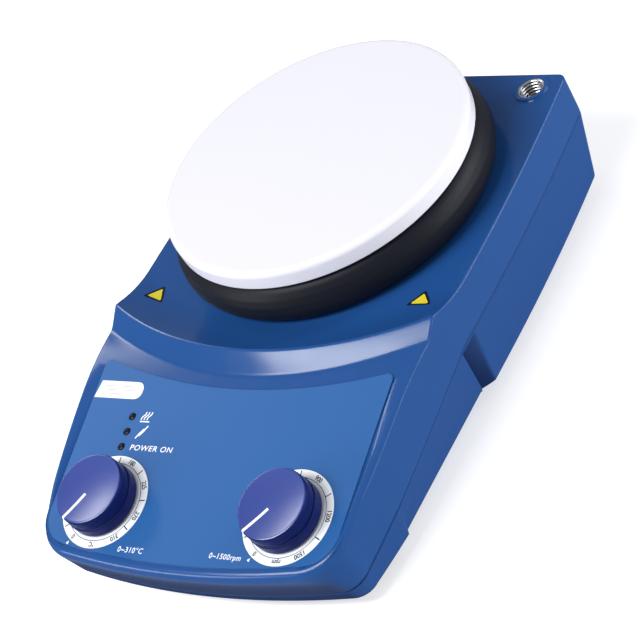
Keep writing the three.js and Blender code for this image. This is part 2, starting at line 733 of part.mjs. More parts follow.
const TRANSFORMER_X = -24;
const TRANSFORMER_Y = -22;

function transformerCore() {
  const low = FLOOR + FIT;
  const core = block(-21, 21, -11, 11, low, low + 28);
  const windows = [-10.5, 10.5].map(x => block(x - 3.5, x + 3.5, -12, 12, low + 5, low + 23));
  return cut(core, ...windows);
}

function transformerCoil() {
  const low = FLOOR + FIT + 5.3;
  const winding = block(-13.7, 13.7, -17, 17, low, low + 17.4);
  return cut(winding, block(-7.3, 7.3, -11.3, 11.3, low - 5, low + 30));
}

function powerBoard() {
  return block(-42, 42, 83.5, 85.1, 14, 46);
}

function heatSink() {
  const pitch = 5;
  const fins = Array.from({ length: 7 }, (_, i) => block(i * pitch, i * pitch + 1.6, 0, 9, 18, 42));
  return join(block(0, 6 * pitch + 1.6, 0, 2, 18, 42), ...fins).translate(-12, 85.4, 0);
}

// ---------------------------------------------------------------- materials

function finish(color, roughness, metalness = 0) {
  return new THREE.MeshStandardMaterial({ color, roughness, metalness });
}

const caseBlue = finish('#1f4a8f', 0.35);
const knobBlue = finish('#23306f', 0.3);
const labelBlue = finish('#2b62a8', 0.3);
const enamelWhite = finish('#f4f4fa', 0.25);
const printWhite = finish('#eef1f5', 0.5);
const satinBlack = finish('#24242a', 0.5);
const gripRubber = finish('#1b1b1d', 0.9);
const moulding = finish('#17181a', 0.55);
const smoked = finish('#101014', 0.2);
const steel = finish('#b8bcc2', 0.35, 1);
const zinc = finish('#9fa6ad', 0.45, 1);
const magnetSilver = finish('#c9ccd0', 0.3, 1);
const castAlloy = finish('#a7abb0', 0.5, 1);
const copper = finish('#b06a3b', 0.45, 1);
const mica = finish('#b9a27c', 0.6);
const wool = finish('#e6e2d6', 0.95);
const boardGreen = finish('#1f5a3c', 0.5);
const boardTape = finish('#d9c24a', 0.6);

// ---------------------------------------------------------------- the assembly

const group = new THREE.Group();

function add(parent, name, geometry, material) {
  const mesh = new THREE.Mesh(geometry, material);
  mesh.name = name;
  parent.add(mesh);
  return mesh;
}

function frameAt(matrix) {
  const frame = new THREE.Group();
  frame.applyMatrix4(matrix);
  group.add(frame);
  return frame;
}

add(group, 'upper_housing', upperHousing(), caseBlue);
add(group, 'lower_housing', lowerHousing(), caseBlue);
for (const [place, [x, y]] of Object.entries(SCREW_PLACES)) {
  add(group, `foot_${place}`, foot(), gripRubber).position.set(x, y, 0);
  add(group, `case_screw_${place}`, caseScrew(), zinc).position.set(x, y, 0);
}

const axis = frameAt(new THREE.Matrix4().makeTranslation(0, PLATE_Y, 0));
add(axis, 'work_plate', workPlate(), enamelWhite);
add(group, 'plate_collar', plateCollar(), satinBlack);
POST_ANGLES.forEach((angle, i) => add(group, `plate_post_${i + 1}`, atPost(platePost(), angle), steel));
add(axis, 'heating_element', heatingElement(), mica);
add(axis, 'heater_clamp', heaterClamp(), steel);
add(axis, 'insulation_disc', insulationDisc(), wool);
add(axis, 'temperature_sensor', temperatureSensor(), steel);
add(axis, 'thermal_cutout', thermalCutout(), moulding);

add(axis, 'motor_bracket', motorBracket(), zinc);
add(axis, 'motor_housing', motorHousing(), castAlloy);
add(axis, 'motor_stator', motorStator(), copper);
add(axis, 'motor_armature', motorArmature(), steel);
add(axis, 'motor_shaft', motorShaft(), steel);
add(axis, 'motor_bearing_lower', motorBearing(17.2), steel);
add(axis, 'motor_bearing_upper', motorBearing(42), steel);
add(axis, 'magnet_carrier', magnetCarrier(), moulding);
add(axis, 'drive_magnet_left', driveMagnet(), magnetSilver).position.x = -MAGNET_REACH;
add(axis, 'drive_magnet_right', driveMagnet(), magnetSilver).position.x = MAGNET_REACH;

const panel = frameAt(panelPlace);
add(panel, 'panel_overlay', panelOverlay(), labelBlue);
add(panel, 'control_board', controlBoard(), boardGreen);
for (const [side, x] of [['left', -DIAL_X], ['right', DIAL_X]]) {
  add(panel, `${side}_dial_ring`, dialRing(), printWhite).position.x = x;
  add(panel, `${side}_potentiometer`, potentiometer(), castAlloy).position.x = x;
  add(panel, `${side}_pot_nut`, potNut(), zinc).position.x = x;
  add(panel, `${side}_pot_shaft`, potShaft(), steel).position.x = x;
  const turning = new THREE.Group();
  turning.position.x = x;
  turning.rotation.z = THREE.MathUtils.degToRad(POINTER_REST_DEG[side]);
  panel.add(turning);
  add(turning, `${side}_knob`, knob(), knobBlue);
  add(turning, `${side}_pointer`, pointer(), printWhite);
}
['heat', 'stir', 'power'].forEach((name, i) => (
  add(panel, `${name}_indicator`, indicatorLens(), smoked).position.set(LED_X, LED_V[i], 0)));

add(group, 'rod_socket', rodSocket(), steel).position.set(SOCKET_X, SOCKET_Y, 0);

const rear = frameAt(rearPlace);
add(rear, 'mains_inlet', mainsInlet(), moulding).position.x = INLET_X;
add(rear, 'power_switch_frame', switchFrame(), moulding).position.x = SWITCH_X;
add(rear, 'power_switch_rocker', switchRocker(), moulding).position.x = SWITCH_X;
add(rear, 'fuse_holder', fuseHolder(), moulding).position.x = FUSE_X;
add(rear, 'fuse_cap', fuseCap(), moulding).position.x = FUSE_X;

add(group, 'power_board', powerBoard(), boardGreen);
add(group, 'heat_sink', heatSink(), castAlloy);
add(group, 'transformer_core', transformerCore(), zinc).position.set(TRANSFORMER_X, TRANSFORMER_Y, 0);
add(group, 'transformer_coil', transformerCoil(), boardTape).position.set(TRANSFORMER_X, TRANSFORMER_Y, 0);

export default group;
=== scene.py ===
# A heated magnetic stirrer: its looks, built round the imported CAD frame.
# Blender's units are metres. Sizes here are in millimetres, unless a comment says metres.
# +Z is up, the front panel is towards -Y, the origin is on the table in the middle of the case.
import json
from math import acos, atan, atan2, cos, hypot, pi, radians, sin, sqrt, tan

import bmesh
import bpy
import numpy as np
from mathutils import Matrix, Vector
from mathutils.geometry import delaunay_2d_cdt


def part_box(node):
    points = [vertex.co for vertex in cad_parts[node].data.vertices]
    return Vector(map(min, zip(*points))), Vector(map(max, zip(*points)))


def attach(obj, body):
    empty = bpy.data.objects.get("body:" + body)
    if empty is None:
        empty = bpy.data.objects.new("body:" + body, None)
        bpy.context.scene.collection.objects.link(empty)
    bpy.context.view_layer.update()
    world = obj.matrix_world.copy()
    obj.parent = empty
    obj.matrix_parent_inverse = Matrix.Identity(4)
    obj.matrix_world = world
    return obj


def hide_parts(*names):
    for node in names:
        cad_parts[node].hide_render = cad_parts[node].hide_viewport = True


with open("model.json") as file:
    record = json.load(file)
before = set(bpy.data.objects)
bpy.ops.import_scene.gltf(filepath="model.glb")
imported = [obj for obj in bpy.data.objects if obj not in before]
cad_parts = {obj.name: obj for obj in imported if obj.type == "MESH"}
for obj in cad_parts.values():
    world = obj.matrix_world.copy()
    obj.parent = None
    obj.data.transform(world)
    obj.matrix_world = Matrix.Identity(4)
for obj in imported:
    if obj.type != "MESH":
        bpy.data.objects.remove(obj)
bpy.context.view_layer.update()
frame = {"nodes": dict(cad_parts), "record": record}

MM = 0.001

# ---- sizes of the case

GAP = 0.3  # between the two shells
FOOT_HEIGHT = 7.0
DECK = 53.1
CREST = 58.5  # ridge between the deck and the front panel
SHOULDER = 53.3
SHOULDER_BEND = 4.0
SWEEP_Y = 125.1  # axis that the ridge curves round
RAMP_START = 138.4
RAMP_END = 158.4
STEP_WIDTH = 9.5
PANEL_SLOPE = 0.249
PANEL_TILT = atan(PANEL_SLOPE)
REAR_Y = 126.0
FRONT_Y = -126.0
PANEL_EDGE_Z = 31.2
RIM_REAR_Y = 115.5
RIM_FRONT_Y = -116.4
HALF_WIDTH = 77.8
WIDEST_Y = 18.5
SIDE_DRAFT = 0.038
REAR_BOW = 0.00049
FRONT_BOW = 0.00019
NOSE_Y = -57.6
NOSE_BOW = 0.0009
REAR_CORNER = 4.0
FRONT_ARC = 360.0
CORNER_AT_RIM = 8.0
CORNER_AT_PANEL = 20.0
SEAM = 33.8
SEAM_BEND_Y = -4.9
SEAM_FALL = 0.189
SIDE_RIM_X = 74.0  # the lower shell ahead of the finger recess
SIDE_LEAN = 0.175
RECESS_Y = -4.6
RECESS_SLANT = 4.2
SHELL = 1.8  # wall thickness of the visible shells
DECK_OPENING = 44.0  # radius of the hole under the collar

# ---- mesh helpers


class Skin:
    """Vertices and faces in millimetres, collected before they become one mesh."""

    def __init__(self):
        self.points = []
        self.faces = []

    def add(self, points, faces):
        start = len(self.points)
        self.points.extend(tuple(float(c) for c in p) for p in points)
        self.faces.extend(tuple(int(i) + start for i in f) for f in faces)

    def loft(self, rings, closed=True, skip=()):
        """Quads between rings of equally many points. skip holds the columns left open."""
        count = len(rings[0])
        points = [p for ring in rings for p in ring]
        last = count if closed else count - 1
        faces = [
            (r * count + i, r * count + (i + 1) % count,
             (r + 1) * count + (i + 1) % count, (r + 1) * count + i)
            for r in range(len(rings) - 1)
            for i in range(last)
            if i not in skip
        ]
        self.add(points, faces)

    def rise(self, loop, heights):
        """Upright walls on a flat loop, through the heights."""
        self.loft([[(x, y, z) for x, y in loop] for z in heights])

    def cap(self, outer, z, holes=(), lines=(), dots=(), down=False):
        """A filled region at height z, which is a number or a function of x and y."""
        flat, faces = fill(outer, holes, lines, dots)
        height = z if callable(z) else lambda x, y: z
        self.add([(x, y, height(x, y)) for x, y in flat], faces[:, ::-1] if down else faces)

    def moved(self, matrix):
        other = Skin()
        other.points = [tuple(matrix @ Vector(p)) for p in self.points]
        other.faces = list(self.faces)
        return other

    def join(self, other):
        self.add(other.points, other.faces)
        return self


def put(name, data):
    """A new object in the scene."""
    made = bpy.data.objects.new(name, data)
    bpy.context.scene.collection.objects.link(made)
    return made


def mesh_of(name, skin, finish):
    mesh = bpy.data.meshes.new(name)
    mesh.from_pydata([(x * MM, y * MM, z * MM) for x, y, z in skin.points], [], skin.faces)
    mesh.materials.append(finish)
    return mesh


def piece(name, skin, slot, replaces=(), body="case", finish=None, sharp=28, thick=0.0,
          weighted=True, second=None):
    """Welds a skin into an object that rides on a body, in its slot's look or another finish.
    second is a finish and a test of a face's middle, for the faces that take it."""
    mesh = mesh_of(name, skin, finish or slot_looks[slot])
    work = bmesh.new()
    work.from_mesh(mesh)
    bmesh.ops.remove_doubles(work, verts=work.verts, dist=3e-6)
    bmesh.ops.dissolve_degenerate(work, dist=1e-6, edges=work.edges)
    bmesh.ops.recalc_face_normals(work, faces=work.faces)
    top = max(work.faces, key=lambda f: f.calc_center_median().z)
    if thick and top.normal.z < 0:
        bmesh.ops.reverse_faces(work, faces=work.faces)
    for face in work.faces:
        face.smooth = True
    for edge in work.edges:
        if len(edge.link_faces) == 2 and edge.calc_face_angle(0) > radians(sharp):
            edge.smooth = False
    work.to_mesh(mesh)
    work.free()
    shape = put(name, mesh)
    if second:
        other, test = second
        mesh.materials.append(other)
        for face in mesh.polygons:
            if test(face.center / MM):
                face.material_index = 1
    if thick:
        wall = shape.modifiers.new("wall", "SOLIDIFY")
        wall.thickness = thick * MM
        wall.offset = -1
    if weighted:
        normals = shape.modifiers.new("normals", "WEIGHTED_NORMAL")
        normals.keep_sharp = True
    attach(shape, body)
    if replaces:
        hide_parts(*replaces)
    return shape


def arc(cx, cy, radius, start, end, steps):
    turn = np.linspace(start, end, steps + 1)
    return [(cx + radius * cos(a), cy + radius * sin(a)) for a in turn]


def circle(cx, cy, radius, steps=64):
    return arc(cx, cy, radius, 0, 2 * pi, steps)[:-1]


def rounded_box(half_x, half_y, radius, steps=6, cx=0.0, cy=0.0):
    quarter = pi / 2
    corners = [(1, 1), (-1, 1), (-1, -1), (1, -1)]
    return [
        point
        for i, (sx, sy) in enumerate(corners)
        for point in arc(cx + sx * (half_x - radius), cy + sy * (half_y - radius),
                         radius, i * quarter, (i + 1) * quarter, steps)
    ]


def soften(points, radius, steps=5, closed=True):
    """Rounds the corners of an outline. radius is one size or one for each corner."""
    count = len(points)
    sizes = [radius] * count if np.isscalar(radius) else list(radius)
    out = []
    for i, point in enumerate(points):
        here = np.array(point, float)
        if sizes[i] <= 0 or (not closed and i in (0, count - 1)):
            out.append(tuple(here))
            continue
        before = np.array(points[i - 1], float) - here
        after = np.array(points[(i + 1) % count], float) - here
        reach_before, reach_after = np.linalg.norm(before), np.linalg.norm(after)
        before, after = before / reach_before, after / reach_after
        half = acos(float(np.clip(before @ after, -1, 1))) / 2
        back = min(sizes[i] / tan(half), reach_before * 0.49, reach_after * 0.49)
        start, end = here + before * back, here + after * back
        for t in np.linspace(0, 1, steps + 1):
            weight = 2 * t * (1 - t) * sin(half) ** 0.5
            spread = (1 - t) ** 2 + t ** 2 + weight
            out.append(tuple(((1 - t) ** 2 * start + weight * here + t ** 2 * end) / spread))
    return out


def hoops(profile, segments, cx=0.0, cy=0.0):
    """Circles round an upright axis, one for each (radius, z) pair."""
    return [[(x, y, z) for x, y in circle(cx, cy, radius, segments)] for radius, z in profile]


def turned(profile, segments=96, cx=0.0, cy=0.0):
    """A solid of revolution. Its profile ends on the axis, or closes on its first point."""
    skin = Skin()
    rings = hoops(profile, segments, cx, cy)
    skin.loft(rings if profile[0][0] <= 1e-6 else rings + [rings[0]])
    return skin


def inside(points, loop):
    """Which points lie in a closed outline, by the even-odd rule."""
    loop = np.asarray(loop, float)[:, :2]
    x, y = points[:, 0][:, None], points[:, 1][:, None]
    x0, y0 = loop[:, 0][None], loop[:, 1][None]
    x1, y1 = np.roll(loop[:, 0], -1)[None], np.roll(loop[:, 1], -1)[None]
    spans = (y0 > y) != (y1 > y)
    rise = np.where(np.abs(y1 - y0) < 1e-12, 1e-12, y1 - y0)
    return (spans & (x < x0 + (y - y0) * (x1 - x0) / rise)).sum(1) % 2 == 1


def fill(outer, holes=(), lines=(), dots=()):
    """Triangles over a region with holes, kept to the lines and through the dots."""
    points, edges = [], []
    loops = [outer, *holes]
    for k, line in enumerate([*loops, *lines]):
        start, count = len(points), len(line)
        last = count if k < len(loops) else count - 1
        points.extend(Vector((float(p[0]), float(p[1]))) for p in line)
        edges.extend((start + i, start + (i + 1) % count) for i in range(last))
    points.extend(Vector((float(p[0]), float(p[1]))) for p in dots)
    flat, _, faces, *_ = delaunay_2d_cdt(points, edges, [], 0, 1e-4)
    flat = np.array([tuple(p) for p in flat])
    faces = np.array([f for f in faces if len(f) == 3])
    middle = flat[faces].mean(axis=1)
    keep = inside(middle, outer)
    for hole in holes:
        keep &= ~inside(middle, hole)
    return flat, faces[keep]


def grown(outline, distance):
    """An outline moved outwards by distance. It runs anticlockwise."""
    loop = np.asarray(outline, float)
    ahead = np.roll(loop, -1, axis=0) - loop
    ahead /= np.maximum(np.linalg.norm(ahead, axis=1), 1e-9)[:, None]
    behind = np.roll(ahead, 1, axis=0)
    normal = np.stack([ahead[:, 1] + behind[:, 1], -ahead[:, 0] - behind[:, 0]], axis=1)
    normal /= np.maximum((normal ** 2).sum(1) / 2, 0.5)[:, None]
    return loop + normal * distance


def slab(outer, low, high, edge=0.2, holes=(), steps=3, foot=True):
    """A flat piece with rounded upper edges, on an anticlockwise outline."""
    skin = Skin()
    turns = np.linspace(0, pi / 2, steps + 1)
    rounds = [(edge * (1 - cos(a)), high - edge * (1 - sin(a))) for a in turns]

    def rings(loop, sign):
        side = [[(x, y, low) for x, y in loop]]
        return side + [[(x, y, z) for x, y in grown(loop, -sign * d)] for d, z in rounds]

    skin.loft(rings(outer, 1))
    for hole in holes:
        skin.loft(rings(hole, -1))
    skin.cap(grown(outer, -edge), high, [grown(h, edge) for h in holes])
    if foot:
        skin.cap(outer, low, holes, down=True)
    return skin


def stroke(points, width):
    """The outline of a line of constant width with round ends, anticlockwise."""
    line = np.asarray(points, float)
    ahead = np.gradient(line, axis=0)
    ahead /= np.linalg.norm(ahead, axis=1)[:, None]
    side = np.stack([ahead[:, 1], -ahead[:, 0]], axis=1) * width / 2
    right, left = line + side, (line - side)[::-1]

    def cap(at, heading):
        start = atan2(heading[1], heading[0]) - pi / 2
        return arc(at[0], at[1], width / 2, start, start + pi, 6)[1:-1]

    return np.array([*right, *cap(line[-1], ahead[-1]), *left, *cap(line[0], -ahead[0])])


# ---- places


def shift(x=0.0, y=0.0, z=0.0):
    return Matrix.Translation((x, y, z))


def spin(angle, axis="Z"):
    return Matrix.Rotation(angle, 4, axis)


panel_at = shift(0, -98.2, 38.2) @ spin(PANEL_TILT, "X")
rear_lean = atan((REAR_Y - RIM_REAR_Y) / (SEAM - FOOT_HEIGHT))
rear_at = (shift(0, (REAR_Y + RIM_REAR_Y) / 2, (SEAM + FOOT_HEIGHT) / 2)
           @ spin(-rear_lean, "X") @ spin(pi / 2, "X") @ spin(pi, "Y"))


def middle(node):
    """Centre of a CAD node's box, in millimetres."""
    low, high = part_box(node)
    return (low + high) / 2 / MM


def radius_of(node):
    low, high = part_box(node)
    return (high.x - low.x) / 2 / MM


plate_centre = middle("work_plate")
DIAL_Y, DIAL_Z = panel_at.translation.y, panel_at.translation.z


def on_panel(x, v):
    return panel_at @ Vector((x, v, 0))


def panel_xy(point):
    """A world point's place across and up the panel."""
    local = panel_at.inverted() @ Vector(point)
    return local.x, local.y


dial_x = {side: panel_xy(middle(f"{side}_dial_ring"))[0] for side in ("left", "right")}

# ---- materials


def node(made, kind, inputs, **settings):
    """Adds a shader node and gives its outputs. An input is a socket to link or a value."""
    new = made.node_tree.nodes.new("ShaderNode" + kind)
    for key, value in settings.items():
        setattr(new, key, value)
    feed(made, new, inputs)
    return new.outputs


def feed(made, target, inputs):
    for key, value in inputs.items():
        if isinstance(value, bpy.types.NodeSocket):
            made.node_tree.links.new(value, target.inputs[key])
        else:
            target.inputs[key].default_value = value


def look(name, color, rough, metallic=0.0, coat=0.0, vary=0.04, patch=9.0, grain=1400.0,
         bump=0.03, rough_vary=0.05, specular=0.5, brushed=(1, 1, 1)):
    """A procedural finish: slow colour drift, finer roughness drift and a fine surface grain."""
    made = bpy.data.materials.new(name)
    made.use_nodes = True
    made.diffuse_color = (*color, 1)
    place = node(made, "TexCoord", {})["Object"]
    stretched = node(made, "Mapping", {"Scale": brushed, "Vector": place})["Vector"]

    def noise(scale, detail, source):
        return node(made, "TexNoise", {"Scale": scale, "Detail": detail, "Vector": source})["Fac"]

    tint = node(made, "Mix", {
        "A": (*[c * (1 - vary) for c in color], 1),
        "B": (*[min(1, c * (1 + vary)) for c in color], 1),
        "Factor": noise(patch, 3, place)}, data_type="RGBA")["Result"]
    roughness = node(made, "MapRange", {
        "To Min": max(0.02, rough - rough_vary),
        "To Max": min(1.0, rough + rough_vary),
        "Value": noise(patch * 14, 4, stretched)})["Result"]
    relief = node(made, "Bump", {
        "Strength": bump, "Distance": 0.0003, "Height": noise(grain, 2, stretched)})["Normal"]
    feed(made, made.node_tree.nodes["Principled BSDF"], {
        "Metallic": metallic, "Coat Weight": coat, "Coat Roughness": 0.08,
        "Specular IOR Level": specular, "Base Color": tint, "Roughness": roughness,
        "Normal": relief})
    return made


# Where the shade painted on the case begins and where it is full: parts of a normal, and places in
# metres.
LEANS_DOWN = (-0.12, -0.36)  # z of the front wall's normal
LOW = (0.031, 0.017)  # height
AHEAD = (-0.05, -0.10)  # y
FACES_FRONT = (-0.05, -0.6)  # y of the recess's normal
UPRIGHT = (0.3, 0.1)  # z of the recess's normal
MIDWAY = (0.05, 0.03)  # distance from the middle of the side


def shade_undercuts(made, color):
    """Paints shade on the undercut front wall and the finger recesses: a darker colour there, and a
    duller finish.
    """
    shader = made.node_tree.nodes["Principled BSDF"]
    place = node(made, "TexCoord", {})
    facing = node(made, "SeparateXYZ", {"Vector": place["Normal"]})
    spot = node(made, "SeparateXYZ", {"Vector": place["Object"]})

    def calculate(operation, *sources):
        return node(made, "Math", dict(enumerate(sources)), operation=operation)["Value"]

    def where(*spans):
        """The product of smooth ramps, each given as a source, its start and its end."""
        product = None
        for source, start, end in spans:
            ramp = node(made, "MapRange", {"From Min": start, "From Max": end, "Value": source},
                        interpolation_type="SMOOTHSTEP")["Result"]
            product = ramp if product is None else calculate("MULTIPLY", product, ramp)
        return product

    front = where((facing["Z"], *LEANS_DOWN), (spot["Z"], *LOW), (spot["Y"], *AHEAD))
    recess = where((facing["Y"], *FACES_FRONT), (facing["Z"], *UPRIGHT),
                   (calculate("ABSOLUTE", spot["Y"]), *MIDWAY))
    # Mask of the painted shade: the front wall low down, and the finger recesses.
    under = calculate("MAXIMUM", front, recess)
    plain, rough = (shader.inputs[key].links[0].from_socket for key in ("Base Color", "Roughness"))
    tint = node(made, "Mix", {"A": plain, "B": (*color, 1), "Factor": under}, data_type="RGBA")
    feed(made, shader, {"Base Color": tint["Result"],
                        "Roughness": calculate("MAXIMUM", rough, under)})


case_blue = look("case_blue", (0.0125, 0.066, 0.235), 0.19, specular=0.34, grain=2600, bump=0.015)
case_low_blue = look("case_low_blue", (0.0125, 0.062, 0.225), 0.45, specular=0.15, grain=2200,
                     bump=0.06)
label_blue = look("label_blue", (0.019, 0.102, 0.310), 0.34, specular=0.3, grain=3800, vary=0.03)
knob_blue = look("knob_blue", (0.005, 0.012, 0.090), 0.32, specular=0.08, grain=3000, bump=0.01)
knob_face = look("knob_face", (0.022, 0.046, 0.250), 0.26, specular=1.0, grain=2600, bump=0.02,
                 vary=0.01, rough_vary=0.01)
enamel = look("enamel", (0.74, 0.735, 0.80), 0.22, coat=0.15, vary=0.015, grain=900, bump=0.015)
collar_black = look("collar_black", (0.007, 0.008, 0.014), 0.45, specular=0.16, grain=2400,
                    bump=0.05, vary=0.1)
rubber = look("rubber", (0.014, 0.014, 0.015), 0.85, grain=3200, bump=0.3, vary=0.15)
moulding = look("moulding", (0.016, 0.017, 0.019), 0.5, grain=2800, bump=0.18, vary=0.12)
ink_white = look("ink_white", (0.86, 0.88, 0.92), 0.45, grain=5000, vary=0.03)
ring_white = look("ring_white", (0.80, 0.83, 0.88), 0.4, grain=4000, vary=0.03)
ink_dark = look("ink_dark", (0.004, 0.005, 0.018), 0.6, specular=0.2, grain=5000, vary=0.1)
ink_grey = look("ink_grey", (0.20, 0.23, 0.33), 0.5, grain=5000, vary=0.1)
yellow = look("sticker_yellow", (0.68, 0.57, 0.025), 0.35, grain=4000, vary=0.05)
smoked = look("smoked_lens", (0.004, 0.005, 0.012), 0.35, specular=0.2, grain=1500, bump=0.01,
              vary=0.2)
steel = look("steel", (0.66, 0.67, 0.70), 0.3, metallic=1.0, vary=0.08, grain=900, bump=0.06,
             brushed=(1, 1, 14))
# Painted shade: a darker, duller steel laid on the thread's roots, where shade falls.
painted_thread_shade = look("painted_thread_shade", (0.060, 0.063, 0.075), 0.5, metallic=0.6, vary=0.1, grain=900,
                  bump=0.06)
zinc = look("zinc", (0.46, 0.48, 0.51), 0.38, metallic=1.0, vary=0.12, grain=1200, bump=0.1)
alloy = look("cast_alloy", (0.50, 0.51, 0.53), 0.45, metallic=0.9, vary=0.1, grain=1500, bump=0.22)
magnet = look("magnet", (0.66, 0.67, 0.69), 0.2, metallic=1.0, vary=0.05, grain=1800)
copper = look("copper", (0.56, 0.24, 0.10), 0.35, metallic=0.9, vary=0.15, grain=700, bump=0.3,
              brushed=(1, 1, 30))
mica = look("mica", (0.46, 0.37, 0.22), 0.6, vary=0.25, patch=60, grain=1600, bump=0.12)
wool = look("wool", (0.72, 0.68, 0.58), 0.95, vary=0.12, patch=80, grain=1300, bump=0.5)
board = look("board", (0.018, 0.110, 0.050), 0.4, coat=0.2, vary=0.12, patch=50, grain=1800,
             bump=0.06)
tape = look("tape", (0.58, 0.44, 0.07), 0.5, vary=0.12, patch=30, grain=900, bump=0.1)

# Painted shade on both shells: this dark blue stands for the shade on the undercut front wall and
# in the finger recesses.
for made in (case_blue, case_low_blue):
    shade_undercuts(made, (0.007, 0.024, 0.095))

slot_looks = {
    "zinc_plate": zinc, "steel": steel, "cast_alloy": alloy, "magnet_silver": magnet,
    "copper_winding": copper, "mica": mica, "insulation_wool": wool, "black_moulding": moulding,
    "board_green": board, "coil_tape": tape, "rubber": rubber, "case_blue": case_blue,
    "label_blue": label_blue, "knob_blue": knob_blue, "print_white": ink_white,
    "enamel_white": enamel, "collar_black": collar_black, "smoked_lens": smoked,
}
for entry in frame["record"]["subparts"]:
    solid = frame["nodes"][entry["node"]]
    solid.data.materials.clear()
    solid.data.materials.append(slot_looks[entry["material_slot"]])

# ---- outline of the case


def half_width(y, z):
    away = y - WIDEST_Y
    bow = REAR_BOW if away > 0 else FRONT_BOW
    nose = NOSE_BOW * max(0.0, NOSE_Y - y) ** 2
    return HALF_WIDTH - bow * away ** 2 - nose + SIDE_DRAFT * (z - FOOT_HEIGHT)


def rear_wall(z):
    lean = (REAR_Y - RIM_REAR_Y) / (SEAM - FOOT_HEIGHT)
    return min(REAR_Y, RIM_REAR_Y + lean * (z - FOOT_HEIGHT))


def front_wall(z):
    lean = (RIM_FRONT_Y - FRONT_Y) / (PANEL_EDGE_Z - FOOT_HEIGHT)
    return RIM_FRONT_Y - lean * (z - FOOT_HEIGHT)


REAR_STEPS = 14  # columns of the straight rear wall, from the middle
SIDE_FROM, SIDE_TO = 95.0, -76.0


def half_outline(z, side):
    """The right half of the plan outline at height z, from the rear middle to the front middle.
    side gives the (x, y) points between the rear and front zones."""
    rise = min(1.0, (z - FOOT_HEIGHT) / (PANEL_EDGE_Z - FOOT_HEIGHT))
    corner = CORNER_AT_RIM + (CORNER_AT_PANEL - CORNER_AT_RIM) * rise
    centre = front_wall(z) + FRONT_ARC
    x, y = 0.0, front_wall(z) + corner
    for _ in range(5):
        x = half_width(y, z) - corner
        y = centre - sqrt((FRONT_ARC - corner) ** 2 - x ** 2)
    turn = atan2(y - centre, x)
    start = rear_wall(z) - REAR_CORNER
    rear_x = half_width(start, z) - REAR_CORNER
    points = [(rear_x * i / REAR_STEPS, rear_wall(z)) for i in range(REAR_STEPS)]
    points += arc(rear_x, start, REAR_CORNER, pi / 2, 0, 8)
    points += [(half_width(v, z), v) for v in np.linspace(start, SIDE_FROM, 8)[1:-1]]
    points += side(z)
    points += [(half_width(v, z), v) for v in np.linspace(SIDE_TO, y, 14)[1:-1]]
    points += arc(x, y, corner, 0, turn, 18)
    points += arc(0, centre, FRONT_ARC, turn, -pi / 2, 24)[1:]
    return points


class Wall:
    """A wall given by its half outline at a few heights, straight between them."""

    def __init__(self, levels, outline):
        self.levels = np.array(levels, float)
        self.loops = np.array([outline(z) for z in levels])
        self.columns = np.arange(self.loops.shape[1])

    def at(self, z):
        z = np.broadcast_to(np.asarray(z, float), self.columns.shape)
        k = np.clip(np.searchsorted(self.levels, z, side="right") - 1, 0, len(self.levels) - 2)
        share = ((z - self.levels[k]) / (self.levels[k + 1] - self.levels[k]))[:, None]
        low, high = self.loops[k, self.columns], self.loops[k + 1, self.columns]
        return np.column_stack([low * (1 - share) + high * share, z])

    def inset(self, z, distance):
        """The wall's points at height z, moved into the outline."""
        points = self.at(z)
        points[:, :2] += inward(points) * distance
        return points

    def settle(self, height, start):
        """The wall's points where z = height(point)."""
        points = self.at(start)
        for _ in range(6):
            points = self.at([height(*p) for p in points])
        return points


def mirrored(half):
    """A whole ring, anticlockwise, from its right half given rear to front."""
    half = np.asarray(half, float)
    left = half[1:-1] * np.array([-1] + [1] * (half.shape[1] - 1))
    return np.concatenate([half[::-1], left])


def inward(half):
    """Unit vectors that point into the outline, in plan, at each point of a half outline."""
    whole = mirrored(half[:, :2])
    along = np.roll(whole, -1, axis=0) - np.roll(whole, 1, axis=0)
    along /= np.linalg.norm(along, axis=1)[:, None]
    return np.stack([-along[:, 1], along[:, 0]], axis=1)[: len(half)][::-1]


def seam_height(x, y, z=0):
    return SEAM - SEAM_FALL * max(0.0, SEAM_BEND_Y - y)


# ---- upper shell


STEP_CROWN, STEP_FOOT = 0.12, 0.25  # shares of the step's width that are rounded


def step_share(t):
    """How far down the flat-faced step is at a share t of its width."""
    if t < STEP_CROWN:
        fall = t * t / (2 * STEP_CROWN)
    elif t < 1 - STEP_FOOT:
        fall = t - STEP_CROWN / 2
    else:
        fall = 1 - STEP_CROWN / 2 - STEP_FOOT / 2 - (1 - t) ** 2 / (2 * STEP_FOOT)
    return fall / (1 - STEP_CROWN / 2 - STEP_FOOT / 2)


def top_height(x, y, z=0):
    reach = hypot(x, y - SWEEP_Y)
    if reach <= RAMP_START:
        return DECK
    if reach <= RAMP_END:
        return DECK + (CREST - DECK) * ((reach - RAMP_START) / (RAMP_END - RAMP_START)) ** 1.8
    panel = DIAL_Z + PANEL_SLOPE * (y - DIAL_Y)
    bend = max(0.0, SHOULDER_BEND - abs(SHOULDER - panel)) ** 2 / (4 * SHOULDER_BEND)
    low = min(SHOULDER, panel) - bend
    down = min(1.0, (reach - RAMP_END) / STEP_WIDTH)
    return low + (CREST - low) * (1 - step_share(down))


EDGE = 0.9  # softness of the top edge along the sides
EDGE_FRONT = 4.4  # and along the front
EDGE_ROWS = 7
STEP_SHARES = (0, 0.04, 0.08, 0.12, 0.27, 0.42, 0.58, 0.75, 0.81, 0.87, 0.93, 1)
SWEEP_RADII = [RAMP_START + d for d in (0, 3, 6, 9, 11.5, 14, 16, 18)]
SWEEP_RADII += [RAMP_END + STEP_WIDTH * t for t in STEP_SHARES]


def edge_softness(y):
    t = min(1.0, max(0.0, (-88 - y) / 26))
    return EDGE + (EDGE_FRONT - EDGE) * t * t * (3 - 2 * t)


